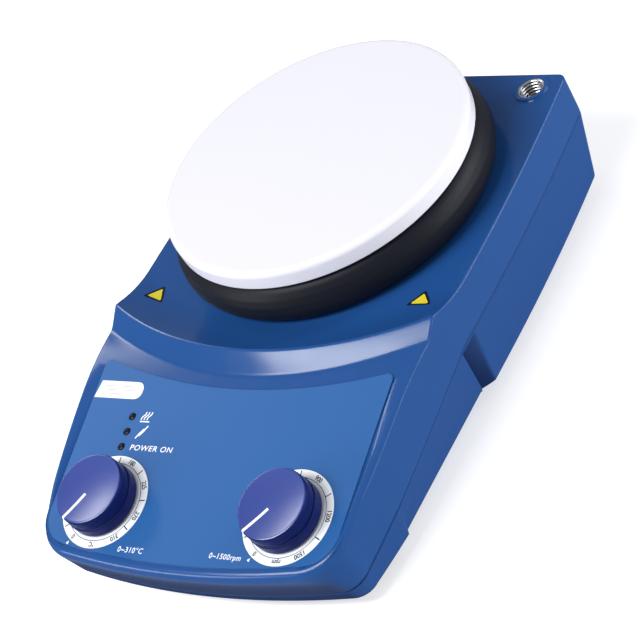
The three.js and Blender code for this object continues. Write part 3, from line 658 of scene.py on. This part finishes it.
def sweep_crossings():
    """Where each swept line meets the inner rim of the rounded side edge."""
    found = []
    for radius in SWEEP_RADII:
        y = 0.0
        for _ in range(20):
            x = half_width(y, CREST - 2) - edge_softness(y)
            y = SWEEP_Y - sqrt(radius ** 2 - x ** 2)
        found.append(y)
    return found


crossings = sweep_crossings()
side_rows = [y for y in np.arange(SIDE_TO, SIDE_FROM + 1, 3.0)
             if min(abs(y - c) for c in crossings) > 1.0]
side_rows = sorted(crossings + side_rows, reverse=True)


def upper_side(z):
    return [(half_width(y, z), y) for y in side_rows]


OVERLAY_HALF = 71.3


def overlay_outline(grow, arcs=10):
    """The front label's outline on the panel, moved out by grow, anticlockwise."""
    half = OVERLAY_HALF + grow
    top_middle, top_arc, top_corner = 52 + grow, 235 - grow, 2.6 + grow
    low_middle, low_arc, low_corner = -23.4 - grow, 400 + grow, 14 + grow
    cx, lx = half - top_corner, half - low_corner
    top_y = top_middle + top_arc - sqrt((top_arc + top_corner) ** 2 - cx ** 2)
    low_y = low_middle + low_arc - sqrt((low_arc - low_corner) ** 2 - lx ** 2)
    top_turn = atan2(top_middle + top_arc - top_y, -cx)
    low_turn = atan2(low_y - low_middle - low_arc, lx)
    right = (
        arc(0, low_middle + low_arc, low_arc, -pi / 2, low_turn, 2 * arcs)
        + arc(lx, low_y, low_corner, low_turn, 0, arcs)[1:]
        + arc(cx, top_y, top_corner, 0, top_turn, arcs)
        + arc(0, top_middle + top_arc, top_arc, top_turn - pi, -pi / 2, 2 * arcs)[1:]
    )
    return np.array(right + [(-x, y) for x, y in right[-2:0:-1]])


def on_top(outline, drop):
    """Panel outline points laid on the case top, lowered by drop."""
    out = []
    for x, v in outline:
        world = on_panel(x, v)
        out.append((world.x, world.y, top_height(world.x, world.y) - drop))
    return out


SOCKET = middle("rod_socket")
SOCKET_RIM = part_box("rod_socket")[1].z / MM
SOCKET_RADIUS = radius_of("rod_socket")


def upper_shell():
    skin = Skin()
    wall = Wall([FOOT_HEIGHT, PANEL_EDGE_Z, SEAM, 66], lambda z: half_outline(z, upper_side))
    edge = wall.settle(top_height, 50)
    soft = np.array([edge_softness(p[1]) for p in edge])
    below = wall.at(edge[:, 2] - soft)
    step_in = inward(edge)
    inner = edge[:, :2] + step_in * soft[:, None]
    inner = np.column_stack([inner, [top_height(*p) for p in inner]])
    rows = []
    for t in np.linspace(1, 0, EDGE_ROWS):
        rows.append((1 - t) ** 2 * below + 2 * t * (1 - t) * edge + t ** 2 * inner)
    bottom = wall.settle(lambda x, y, z: seam_height(x, y) + GAP, SEAM)
    for t in np.linspace(0, 1, 9)[1:]:
        rows.append(wall.at(below[:, 2] + (bottom[:, 2] + 0.45 - below[:, 2]) * t))
    for lift, back in ((0.2, 0.06), (0.04, 0.25), (0.0, 0.6), (0.0, 2.2)):
        rows.append(wall.inset(bottom[:, 2] + lift, back))
    skin.loft([mirrored(row) for row in rows])

    rim = mirrored(inner)
    pocket_steps = [(0.45, 0.0), (0.2, 0.06), (0.05, 0.22), (0.0, 0.4), (0.0, 0.9)]
    pocket = [on_top(overlay_outline(grow), drop) for grow, drop in pocket_steps]
    skin.loft(pocket)
    opening = circle(plate_centre.x, plate_centre.y, DECK_OPENING, 64)
    foot = [(1.9, 0), (1.35, 0.1), (1.05, 0.4)]
    lip = [(0.95, -0.15), (0.75, 0.1), (0.45, 0.2), (-0.35, 0.2), (-0.5, 0.05)]
    boss = [(SOCKET_RADIUS + out, DECK + up) for out, up in foot]
    boss += [(SOCKET_RADIUS + out, SOCKET_RIM + up) for out, up in lip]
    skin.loft(hoops(boss, 48, SOCKET.x, SOCKET.y))

    arcs = []
    for radius, y in zip(SWEEP_RADII, crossings):
        end = min(rim, key=lambda p: hypot(abs(p[0]) - 77, p[1] - y) if p[0] > 0 else 1e9)
        angle = atan2(end[0], SWEEP_Y - end[1])
        steps = max(8, round(radius * 2 * angle / 2.6))
        turns = np.linspace(-angle, angle, steps)
        line = [(radius * sin(a), SWEEP_Y - radius * cos(a)) for a in turns]
        line[0], line[-1] = (-end[0], end[1]), (end[0], end[1])
        arcs.append(line)
    outer_pocket = grown(np.array(pocket[0])[:, :2], 1.3)
    grid = [(x, y) for x in np.arange(-76, 76.1, 3.0) for y in np.arange(-66, 0, 3.0)
            if hypot(x, y - SWEEP_Y) > RAMP_END + STEP_WIDTH + 1.5]
    grid = np.array(grid)
    grid = grid[inside(grid, rim * np.array([0.975, 1, 1])) & ~inside(grid, outer_pocket)]
    socket_hole = circle(SOCKET.x, SOCKET.y, boss[0][0], 48)
    skin.cap(rim, top_height, [pocket[0], opening, socket_hole], arcs, grid)
    skin.cap(pocket[-1], lambda x, y: top_height(x, y) - pocket_steps[-1][1])
    return skin


piece("case_upper_shell", upper_shell(), "case_blue", ["upper_housing"], sharp=24, thick=SHELL)

# ---- lower shell


def scoop_front(z):
    return RECESS_Y - RECESS_SLANT * (z - FOOT_HEIGHT) / (SEAM - FOOT_HEIGHT)


def scoop_length(z):
    return 8.0 + 9 * (z - FOOT_HEIGHT) / (SEAM - FOOT_HEIGHT)


def relief_x(y, z):
    return min(half_width(y, z), SIDE_RIM_X + (z - FOOT_HEIGHT) * SIDE_LEAN)


def scoop_x(y, z):
    """The face of the finger recess, which rounds out into the side."""
    share = min(1.0, max(0.0, (y - scoop_front(z)) / scoop_length(z)))
    deep = SIDE_RIM_X - 0.6
    proud = half_width(RECESS_Y, z) + 1.2
    return min(half_width(y, z), deep + (proud - deep) * (1 - (1 - share) ** 1.45))


def lower_side(z, scooped):
    """Side points from the rear to the front: plain side, recess, then the relieved side."""
    front, length = scoop_front(z), scoop_length(z)
    behind = np.linspace(SIDE_FROM, front + length + 4, 16)[:-1]
    across = front + length * np.linspace(1.2, 0, 22) ** 1.5
    ahead = np.linspace(front - 0.03, SIDE_TO, 26)
    points = [(half_width(y, z), y) for y in behind]
    points += [((scoop_x if scooped else half_width)(y, z), y) for y in across]
    return points + [(relief_x(y, z), y) for y in ahead]


def lip_height(x, y, z=0):
    """Lower edge of the lip over the recess."""
    share = min(1.0, max(0.0, (y - RECESS_Y + 12) / 21))
    lip = SEAM - 1.8 + 1.0 * share
    return min(lip, seam_height(x, y) - 0.6)


INLET = (28.0, 13.3, 9.8)  # rear fittings: middle, half width and half height of the opening
SWITCH = (-8.0, 6.4, 9.4)
FUSE = (-34.0, 6.1)
VENT_ROWS = (-52.0, 96.0)
VENTS_PER_ROW = 7


def lower_shell():
    skin = Skin()
    levels = np.linspace(FOOT_HEIGHT - 1, SEAM + 2, 50)
    plain = Wall(levels, lambda z: half_outline(z, lambda h: lower_side(h, False)))
    scooped = Wall(levels, lambda z: half_outline(z, lambda h: lower_side(h, True)))
    top = plain.settle(seam_height, SEAM)
    lip = plain.settle(lip_height, SEAM - 4)
    rows = []
    for drop, back in ((0.0, 2.2), (0.0, 0.7), (0.07, 0.45), (0.42, 0.1)):
        rows.append(plain.inset(top[:, 2] - drop, back))
    for t in np.linspace(0, 1, 4):
        rows.append(plain.at(np.maximum(top[:, 2] - 0.45, lip[:, 2]) * (1 - t) + lip[:, 2] * t))
    for t in np.linspace(0, 1, 16) ** 1.3:
        rows.append(scooped.at(lip[:, 2] * (1 - t) + (FOOT_HEIGHT + 0.7) * t))
    for lift, back in ((0.42, 0.07), (0.18, 0.22), (0.04, 0.45), (0.0, 0.8)):
        rows.append(scooped.inset(FOOT_HEIGHT + lift, back))
    # The ring starts at the front middle; the straight rear wall is round its middle column.
    rear_middle = len(top) - 1
    rear_columns = range(rear_middle - REAR_STEPS, rear_middle + REAR_STEPS)
    rings = [mirrored(row) for row in rows]
    skin.loft(rings[:5])
    skin.loft(rings[4:-4], skip=set(rear_columns))
    skin.loft(rings[-5:])

    right, left = rear_columns.start, rear_columns.stop
    border = [rings[4][i] for i in range(right, left + 1)]
    border += [rings[r][left] for r in range(5, len(rings) - 4)]
    border += [rings[-5][i] for i in range(left - 1, right - 1, -1)]
    border += [rings[r][right] for r in range(len(rings) - 6, 4, -1)]
    back = rear_at.inverted()
    flat_border = [(back @ Vector(p)).xy for p in border]
    holes = [
        rounded_box(INLET[1], INLET[2], 1, cx=INLET[0]),
        rounded_box(SWITCH[1], SWITCH[2], 1, cx=SWITCH[0]),
        circle(FUSE[0], 0, FUSE[1], 32),
    ]
    flat, faces = fill(flat_border, holes)
    skin.add([rear_at @ Vector((x, y, 0)) for x, y in flat], faces)

    vents = [
        rounded_box(1.5, 14, 1.45, cx=(i - (VENTS_PER_ROW - 1) / 2) * 8, cy=row)
        for row in VENT_ROWS for i in range(VENTS_PER_ROW)
    ]
    skin.cap(rings[-1], FOOT_HEIGHT, vents)
    return skin


piece("case_lower_shell", lower_shell(), "case_blue", ["lower_housing"], finish=case_low_blue,
      sharp=24, thick=SHELL)

# ---- work plate, collar and feet


def work_plate():
    low, high = (c.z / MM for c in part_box("work_plate"))
    radius = radius_of("work_plate")
    rim = soften([(0, low), (radius - 0.3, low), (radius, high), (0, high)], [0, 0.7, 2.6, 0], 10)
    rim[1:1] = [(radius * 0.5, low)]
    rim[-1:-1] = [(radius - 3.2, high), (radius * 0.5, high)]
    return turned(rim, 160, plate_centre.x, plate_centre.y)


piece("enamelled_work_plate", work_plate(), "enamel_white", ["work_plate"])

TRAY = (62.0, 63.5)  # floor of the collar, which carries the heater
POST_REACH = 57.0
POST_ANGLES = (90, 210, 330)
COLLAR_FOOT = DECK + 0.3


def plate_collar():
    """The bulging band round the plate, its tray, and the lugs that the posts stand on."""
    side = [(65.0, COLLAR_FOOT), (66.9, COLLAR_FOOT + 0.9), (69.0, 56.6), (70.3, 59.2),
            (70.55, 61.4), (70.2, 64.4), (69.1, 67.4), (67.6, 69.9), (66.6, 70.9), (65.4, 71.6),
            (64.6, 71.7)]
    side = soften(side, [0.4, 1.2] + [6] * 6 + [1.5, 0.6, 0.4], 4, closed=False)
    profile = [(61.5, TRAY[0]), (61.5, COLLAR_FOOT), *side, (63.6, 71.4), (63.6, TRAY[1])]
    skin = Skin()
    x, y = plate_centre.x, plate_centre.y
    skin.loft(hoops(profile, 144, x, y))
    turns = [radians(a) for a in POST_ANGLES]
    posts = [(x + POST_REACH * cos(a), y + POST_REACH * sin(a)) for a in turns]
    bores = [circle(px, py, 2.3, 16) for px, py in posts] + [circle(x, y - 41, 3, 20)]
    lugs = [circle(px, py, 5, 24) for px, py in posts]
    skin.cap(circle(x, y, 63.6, 144), TRAY[1], bores)
    skin.cap(circle(x, y, 61.5, 144), TRAY[0], [*lugs, bores[-1]])
    for lug, bore in zip(lugs, bores):
        skin.rise(lug, (TRAY[0], COLLAR_FOOT))
        skin.rise(bore, (TRAY[1], COLLAR_FOOT))
        skin.cap(lug, COLLAR_FOOT, [bore])
    skin.rise(bores[-1], TRAY)
    return skin


piece("heat_resistant_collar", plate_collar(), "collar_black", ["plate_collar"])

for place in ("front_left", "front_right", "rear_left", "rear_right"):
    centre = middle(f"foot_{place}")
    sole = soften([(2.05, 3), (4, 3), (4, 0.02), (7, 0.02), (7, 3.2), (6.6, 3.6), (7, 4.0),
                   (7, FOOT_HEIGHT - GAP), (2.05, FOOT_HEIGHT - GAP)],
                  [0.2, 0.2, 0.5, 1.0, 0.3, 0.3, 0.3, 0.3, 0.2], 4)
    piece(f"rubber_foot_{place}", turned(sole, 48, centre.x, centre.y), "rubber",
          [f"foot_{place}"])

# ---- rod socket

THREAD_PITCH = 1.5
THREAD_DEPTH = 0.8
THREAD_BORE = 4.75  # radius about halfway down the thread
# Faces between these radii are painted dark, as shade in the thread's roots.
THREAD_ROOT = (4.95, 5.5)  # radii between which its faces are dark
THREAD_SIDES = 72


def rod_socket():
    foot, rim = (c.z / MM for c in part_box("rod_socket"))
    mouth = (THREAD_BORE + 0.55, rim)
    shell = soften([mouth, (SOCKET_RADIUS, rim), (SOCKET_RADIUS, foot), (0, foot)],
                   [0.2, 0.35, 0.4, 0], 4, closed=False)
    skin = Skin()
    skin.loft(hoops(shell, THREAD_SIDES, SOCKET.x, SOCKET.y))
    rings = hoops([mouth], THREAD_SIDES, SOCKET.x, SOCKET.y)
    for z in np.arange(rim - 0.35, foot + 2, -THREAD_PITCH / 8):
        lead_in = max(0.0, z - (rim - 0.7)) * 0.5
        ring = []
        for turn in np.arange(THREAD_SIDES) / THREAD_SIDES:
            wave = abs(((z / THREAD_PITCH - turn) % 1) * 2 - 1)
            depth = THREAD_DEPTH * (min(1, max(0, wave * 1.5 - 0.25)) - 0.35)
            radius = THREAD_BORE + depth + lead_in
            angle = 2 * pi * turn
            ring.append((SOCKET.x + radius * cos(angle), SOCKET.y + radius * sin(angle), z))
        rings.append(ring)
    skin.loft(rings)
    skin.add(rings[-1], [range(THREAD_SIDES)])
    return skin


# Which faces of the socket take the painted shade: those in the thread's roots.
def thread_root(at):
    low, high = THREAD_ROOT
    return low < hypot(at.x - SOCKET.x, at.y - SOCKET.y) < high and at.z < SOCKET_RIM - 0.6


piece("threaded_rod_socket", rod_socket(), "steel", ["rod_socket"], sharp=50,
      second=(painted_thread_shade, thread_root))

# ---- front panel

FILM = 0.5  # thickness of the panel label
DIAL_OUTER = 20.2
LED_X = -47.5
LED_V = {"heat": 37.6, "stir": 30.9, "power": 24.2}
LED_RADIUS = 1.6
INK = 0.03


def panel_piece(name, skin, slot, replaces=(), at=(0, 0), **more):
    piece(name, skin.moved(panel_at @ shift(*at)), slot, replaces, **more)


def panel_label():
    holes = [circle(dial_x[side], 0, DIAL_OUTER + 0.12, 96) for side in dial_x]
    holes += [circle(LED_X, v, LED_RADIUS + 0.1, 32) for v in LED_V.values()]
    return slab(overlay_outline(0.12, 14), -FILM, 0.0, 0.12, holes)


panel_piece("panel_label", panel_label(), "label_blue", ["panel_overlay"])


def dome():
    return turned([(0, -6), (2.4, -6), (2.4, -4.2), (LED_RADIUS, -4.2), (LED_RADIUS, -0.15),
                   (1.45, 0.1), (1.1, 0.32), (0.6, 0.46), (0, 0.52)], 32)


for name, v in LED_V.items():
    panel_piece(f"{name}_indicator_lens", dome(), "smoked_lens", [f"{name}_indicator"],
                at=(LED_X, v))

FONT_CAP = 0.716  # height of a capital in the built-in font, at size 1


def lettering(text, height, squeeze=1.0, slant=0.0, bold=0.012, spacing=1.0):
    """A line of plain lettering, as a thin solid centred on the origin."""
    curve = bpy.data.curves.new("lettering", "FONT")
    curve.body = text
    curve.shear = slant
    curve.extrude = 0.01
    curve.offset = bold
    curve.space_character = spacing
    curve.resolution_u = 3
    shape = put("lettering", curve)
    graph = bpy.context.evaluated_depsgraph_get()
    made = bpy.data.meshes.new_from_object(shape.evaluated_get(graph))
    points = np.array([v.co[:] for v in made.vertices])
    faces = [tuple(p.vertices) for p in made.polygons]
    bpy.data.objects.remove(shape)
    bpy.data.curves.remove(curve)
    bpy.data.meshes.remove(made)
    scale = height / FONT_CAP
    middle_x = (points[:, 0].min() + points[:, 0].max()) / 2
    skin = Skin()
    skin.add(np.column_stack([
        (points[:, 0] - middle_x) * scale * squeeze,
        (points[:, 1] - FONT_CAP / 2) * scale,
        np.where(points[:, 2] > 0, INK, 0.0),
    ]), faces)
    return skin


def inked(outline, low=0.0, high=INK, holes=()):
    return slab(outline, low, high, 0.005, holes, steps=1, foot=False)


SCALE_LINE = 16.9
SCALE_ZERO = -121  # angle of the zero mark, anticlockwise from the right
SCALE_SWEEP = 292


def dial_scale(values, last, unit, unit_angle, squeeze):
    """The dark print on a dial ring: a thin circle, numbers round it and strokes between them."""
    skin = inked(circle(0, 0, SCALE_LINE + 0.12, 128), holes=[circle(0, 0, SCALE_LINE - 0.12, 128)])

    def at(angle, radius):
        return spin(radians(angle)) @ shift(radius) @ spin(-pi / 2)

    angles = [SCALE_ZERO - SCALE_SWEEP * v / last for v in values]
    for value, angle in zip(values, angles):
        skin.join(lettering(str(value), 2.1, squeeze, bold=0.02).moved(at(angle, 18.55)))
    for before, after in zip(angles, angles[1:]):
        mark = inked(stroke([(0, -1.25), (0, 1.25)], 0.45))
        skin.join(mark.moved(at((before + after) / 2, 18.2)))
    skin.join(lettering(unit, 2.0, squeeze, bold=0.02).moved(at(unit_angle, 18.55)))
    return skin


scales = {
    "left": ([0, 45, 90, 135, 180, 225, 270, 310], 310, "°C", -87),
    "right": ([0, 300, 600, 900, 1200, 1500], 1500, "rpm", -85),
}
for side, x in dial_x.items():
    ring = slab(circle(0, 0, DIAL_OUTER, 128), -FILM, 0.0, 0.1, [circle(0, 0, 4.9, 48)])
    panel_piece(f"{side}_scale_ring", ring, "print_white", [f"{side}_dial_ring"], at=(x, 0),
                finish=ring_white)
    panel_piece(f"{side}_scale_print", dial_scale(*scales[side], 0.86), "black_moulding", at=(x, 0),
                finish=ink_dark, weighted=False)


def panel_print():
    """White marks on the label: heat and stir symbols, words, ranges and two arrowheads."""
    skin = Skin()
    for x in (-41.7, -40.2, -38.7):
        t = np.linspace(-1, 1, 13)
        wave = [(x + 0.75 * s + 0.32 * sin(pi * s), 38.15 + 1.65 * s) for s in t]
        skin.join(inked(stroke(wave, 0.5)))
    skin.join(inked(stroke([(-42.6, 35.65), (-40.3, 35.65), (-38.1, 35.65)], 0.5)))
    shaft = [(-42.0 + 4.2 * s, 28.3 + 5.4 * s + 0.35 * sin(2 * pi * s))
             for s in np.linspace(0, 1, 15)]
    skin.join(inked(stroke(shaft, 0.6)))
    skin.join(inked(stroke([(-40.7, 29.9), (-39.9, 30.9), (-39.1, 31.9)], 1.35), high=INK * 1.4))
    words = [
        ("POWER ON", 2.45, -32.0, 24.2, 1.1, 0.1),
        ("0~310°C", 2.35, -24.0, -19.2, 0.95, 0.05),
        ("0~1500rpm", 2.35, 22.6, -18.2, 0.9, 0.05),
    ]
    for text, height, x, v, squeeze, slant in words:
        word = lettering(text, height, squeeze, slant, 0.01, 1.12)
        skin.join(word.moved(shift(x, v)))
    for x in dial_x.values():
        tip = shift(x) @ spin(radians(SCALE_ZERO))
        head = soften([(20.8, 0), (22.3, -0.7), (22.3, 0.7)], 0.1, 2)
        skin.join(inked(head).moved(tip))
    return skin


panel_piece("panel_print", panel_print(), "print_white", weighted=False)

NAME_LABEL = [(-71.0, 45.2), (-47.0, 45.2), (-47.0, 52.8), (-69.6, 52.8)]
panel_piece("blank_name_label", slab(soften(NAME_LABEL, [0.3, 3.6, 3.6, 0.3], 8), 0.0, 0.09, 0.03),
            "print_white")
lines = Skin()
for v, reach in ((50.6, 17), (48.9, 17), (47.2, 11)):
    lines.join(inked(stroke([(-67.5, v), (-67.5 + reach, v)], 0.22), 0.09, 0.11))
panel_piece("name_label_lines", lines, "print_white", finish=ink_grey, weighted=False)

# ---- knobs

DISH_FLOOR = 11.0  # middle of the knob's dished face
DISH_RIM = 11.9
DISH_RADIUS = 14.0
REST_TURN = {"left": -118, "right": -126}


def dish(start, steps):
    """Points up the dished face, from a radius to its rim."""
    return [(r, DISH_FLOOR + (DISH_RIM - DISH_FLOOR) * (r / DISH_RADIUS) ** 2)
            for r in np.linspace(start, DISH_RADIUS, steps)]


def knob_body():
    """A two-tier knob, hollow round its hub, open at the top for the face."""
    grip = soften([(15.35, 0.8), (15.7, 1.2), (15.7, 5.5), (15.35, 5.9), (14.8, 6.1), (14.8, 6.5),
                   (15.35, 6.8), (15.3, 11.3), (14.5, 11.95)],
                  [0, 0.4, 0.5, 0.3, 0.1, 0.1, 0.4, 0.9, 0], 4, closed=False)
    inner = [(0, 9.8), (3.3, 9.8), (3.3, 3.0), (6.5, 3.0), (6.5, 8.0), (12.8, 8.0), (12.8, 0.8)]
    return turned([*inner, *grip, (14.3, 11.0), (0, 10.3)], 128)


def knob_cap():
    """The dished face with its soft rim."""
    rim = [(14.35, 11.98), (14.65, 11.97), (14.9, 11.85), (14.6, 11.0)]
    return turned([*dish(0, 12), *rim, (0, DISH_FLOOR - 0.4)], 128)


def pointer():
    """A white bar let into the face, from near its centre to its rim."""
    skin = Skin()
    half = 0.65
    tops = [(r, z + 0.1) for r, z in dish(2.2, 9)] + [(14.5, 12.08), (15.0, 11.92), (15.25, 11.5)]
    rows = []
    for r, z in tops:
        rows.append([(r, -half, z - 0.3), (r, -half, z - 0.06), (r, -half + 0.06, z),
                     (r, half - 0.06, z), (r, half, z - 0.06), (r, half, z - 0.3)])
    skin.loft(rows)
    skin.add(rows[0], [(5, 4, 3, 2, 1, 0)])
    skin.add(rows[-1], [(0, 1, 2, 3, 4, 5)])
    return skin


for side, x in dial_x.items():
    place = {"at": (x, 0), "body": f"{side}_knob_body"}
    turn = spin(radians(REST_TURN[side]))
    panel_piece(f"{side}_knob_grip", knob_body(), "knob_blue", [f"{side}_knob"], **place)
    panel_piece(f"{side}_knob_face", knob_cap(), "knob_blue", finish=knob_face, **place)
    panel_piece(f"{side}_knob_pointer", pointer().moved(turn), "print_white",
                [f"{side}_pointer"], **place)

# ---- plain triangle marks on the deck


def deck_mark(corners, inset, low, high):
    """A thin film that follows the case top inside a triangle, given anticlockwise."""
    outline = soften(grown(corners, -inset), 0.5, 4)
    across, along = (np.arange(min(c), max(c), 1.0) for c in zip(*outline))
    grid = np.array([(x, y) for x in across for y in along])
    grid = grid[inside(grid, grown(outline, -0.3))]
    skin = Skin()
    skin.cap(outline, lambda x, y: top_height(x, y) + high, dots=grid)
    skin.loft([[(x, y, top_height(x, y) + z) for x, y in outline] for z in (low, high)])
    return skin


marks = {
    "left": [(-71.84, -3.19), (-61.32, -6.23), (-65.31, 2.78)],
    "right": [(59.78, -2.61), (70.64, -2.49), (64.68, 4.7)],
}
for side, corners in marks.items():
    border, field = deck_mark(corners, -0.4, 0.0, 0.05), deck_mark(corners, 0.65, 0.05, 0.09)
    piece(f"{side}_mark_border", border, "black_moulding", finish=ink_dark)
    piece(f"{side}_mark_field", field, "coil_tape", finish=yellow)

# ---- rear fittings

FLANGE = (-0.9, 0.6)  # below and above the wall's face


def rear_piece(name, skin, slot, replaces=(), x=0.0, tilt=Matrix(), **more):
    piece(name, skin.moved(rear_at @ shift(x) @ tilt), slot, replaces, **more)


def sleeve(flange, body, mouth, depth, back):
    """A flanged housing with a well in it."""
    skin = slab(flange, *FLANGE, 0.45, [mouth], foot=False)
    skin.cap(flange, FLANGE[0], [body])
    for loop, far in ((body, -back), (mouth, -depth)):
        skin.rise(loop, (FLANGE[0], far))
        skin.cap(loop, far)
    return skin


inlet_mouth = soften(
    [(-11.5, -7.5), (11.5, -7.5), (11.5, 3.5), (7.5, 7.5), (-7.5, 7.5), (-11.5, 3.5)], 0.9, 4)
rear_piece("mains_inlet_housing",
           sleeve(rounded_box(15.5, 12, 2.5), rounded_box(13.2, 9.7, 1), inlet_mouth, 15, 18),
           "black_moulding", ["mains_inlet"], x=INLET[0])
blades = Skin()
for x, y in ((-7, -2), (0, 2), (7, -2)):
    blades.join(slab(rounded_box(1, 2, 0.3, 3, x, y), -15, -4.5, 0.5))
rear_piece("mains_inlet_blades", blades, "steel", x=INLET[0])

switch_loops = rounded_box(7.5, 10.5, 1.6), rounded_box(6.3, 9.3, 1), rounded_box(5.3, 8.3, 0.8)
rear_piece("rocker_switch_frame", sleeve(*switch_loops, 8, 14),
           "black_moulding", ["power_switch_frame"], x=SWITCH[0])

ROCKER_PIVOT = -3.0
ROCKER_TILT = radians(6)
rocker_tilt = shift(z=ROCKER_PIVOT) @ spin(ROCKER_TILT, "X") @ shift(z=-ROCKER_PIVOT)


def rocker_top(y):
    return 0.2 + 0.8 * (abs(y) / 7.2) ** 1.7


def rocker():
    """A rocker with a hollowed top, from its section across the pivot."""
    top = [(y, rocker_top(y)) for y in np.linspace(7.2, -7.2, 17)]
    section = [(-7.3, -4.4), (7.3, -4.4), (7.4, 0.7), *top, (-7.4, 0.7)]
    skin = Skin()
    rings = []
    for x, shrink in ((-4.9, 0.4), (-4.75, 0.12), (-4.5, 0), (4.5, 0), (4.75, 0.12), (4.9, 0.4)):
        rings.append([(x, y * (1 - shrink / 8), z - (shrink if z > 0 else 0)) for y, z in section])
    skin.loft(rings)
    skin.add(rings[0], [tuple(range(len(section)))[::-1]])
    skin.add(rings[-1], [tuple(range(len(section)))])
    return skin


key = {"x": SWITCH[0], "tilt": rocker_tilt, "body": "rocker_body"}
rear_piece("rocker_switch_key", rocker(), "black_moulding", ["power_switch_rocker"], **key)
signs = inked(stroke([(-1.1, 4.4), (1.1, 4.4)], 0.45), -0.02, 0.05)
rings = circle(0, -4.4, 1.25, 32), [circle(0, -4.4, 0.85, 32)]
signs.join(slab(rings[0], -0.02, 0.05, 0.01, rings[1], 1, False))
signs.points = [(x, y, z + rocker_top(y)) for x, y, z in signs.points]
rear_piece("rocker_switch_signs", signs, "print_white", weighted=False, **key)

holder = soften([(0, -20), (6, -20), (6, -0.9), (8, -0.9), (8, 0.6), (4.9, 0.6), (4.9, -17),
                 (0, -17)], [0, 0.3, 0, 0.1, 0.45, 0.3, 0, 0], 4)
rear_piece("fuse_holder_body", turned(holder, 64), "black_moulding", ["fuse_holder"], x=FUSE[0])


def fuse_cap():
    """A screw cap with a driver slot across its top."""
    slot = rounded_box(4, 0.6, 0.25, 3)
    skin = slab(circle(0, 0, 6.4, 64), 1.0, 3.1, 0.5, foot=False, holes=[slot])
    skin.rise(slot, (1.0, 1.9))
    skin.cap(slot, 1.9)
    stem = [(0, -12), (4.2, -12), (4.5, -11.7), (4.5, 1.0), (6.4, 1.0), (0, 1.02)]
    return skin.join(turned(stem, 64))


rear_piece("fuse_cap_slotted", fuse_cap(), "black_moulding", ["fuse_cap"], x=FUSE[0],
           body="fuse_cap_body")

# ---- floor, lights and camera

floor_look = look("floor", (0.62, 0.62, 0.63), 0.7, vary=0.01, patch=2, grain=300, bump=0.02,
                  specular=0.1)
glow = floor_look.node_tree.nodes["Principled BSDF"]
glow.inputs["Emission Color"].default_value = (1, 1, 1, 1)
glow.inputs["Emission Strength"].default_value = 0.58
table = Skin()
steps = np.linspace(-12000, 12000, 9)
table.loft([[(x, y, 0.0) for x in steps] for y in steps], closed=False)
floor = put("floor", mesh_of("floor", table, floor_look))
floor.visible_glossy = False

AIM = Vector((5.1, 3.3, 35.7))
VIEW_AZIMUTH = 48.69  # from the front towards the right side
VIEW_ELEVATION = 36.88
VIEW_DISTANCE = 1253.6
VIEW_ROLL = -32.16
VIEW_LENS = 175.9


def direction(azimuth, elevation):
    a, e = radians(azimuth), radians(elevation)
    return Vector((cos(e) * sin(a), -cos(e) * cos(a), sin(e)))


def aimed(obj, azimuth, elevation, distance, roll=0.0):
    back = direction(azimuth, elevation)
    side = Vector((0, 0, 1)).cross(back).normalized()
    up = back.cross(side)
    turn = Matrix((side, up, back)).transposed().to_4x4()
    turn = turn @ spin(radians(roll))
    obj.matrix_world = shift(*(AIM + back * distance) * MM) @ turn


camera_data = bpy.data.cameras.new("camera")
camera_data.lens = VIEW_LENS
camera_data.sensor_width = 36
camera_data.clip_end = 50
camera = put("camera", camera_data)
aimed(camera, VIEW_AZIMUTH, VIEW_ELEVATION, VIEW_DISTANCE, VIEW_ROLL)
bpy.context.scene.camera = camera


def softbox(name, azimuth, elevation, distance, wide, high, power, roll=0.0):
    data = bpy.data.lights.new(name, "AREA")
    data.shape = "RECTANGLE"
    data.size, data.size_y = wide * MM, high * MM
    data.energy = power
    aimed(put(name, data), azimuth, elevation, distance, roll)


softbox("key", -22, 54.5, 1500, 1120, 420, 23.5, 34)
softbox("front_strip", -41, 14, 1500, 700, 400, 6.0)
softbox("back_left", -108, 37, 1600, 480, 260, 3.2)
softbox("rim", 138, 36, 1500, 500, 900, 4.5)
softbox("fill", 118, 9, 1700, 1500, 500, 20)

world = bpy.data.worlds.new("studio")
world.use_nodes = True
world.node_tree.nodes["Background"].inputs["Color"].default_value = (0.95, 0.97, 1.0, 1)
world.node_tree.nodes["Background"].inputs["Strength"].default_value = 0.26
bpy.context.scene.world = world
bpy.context.scene.view_settings.view_transform = "Standard"
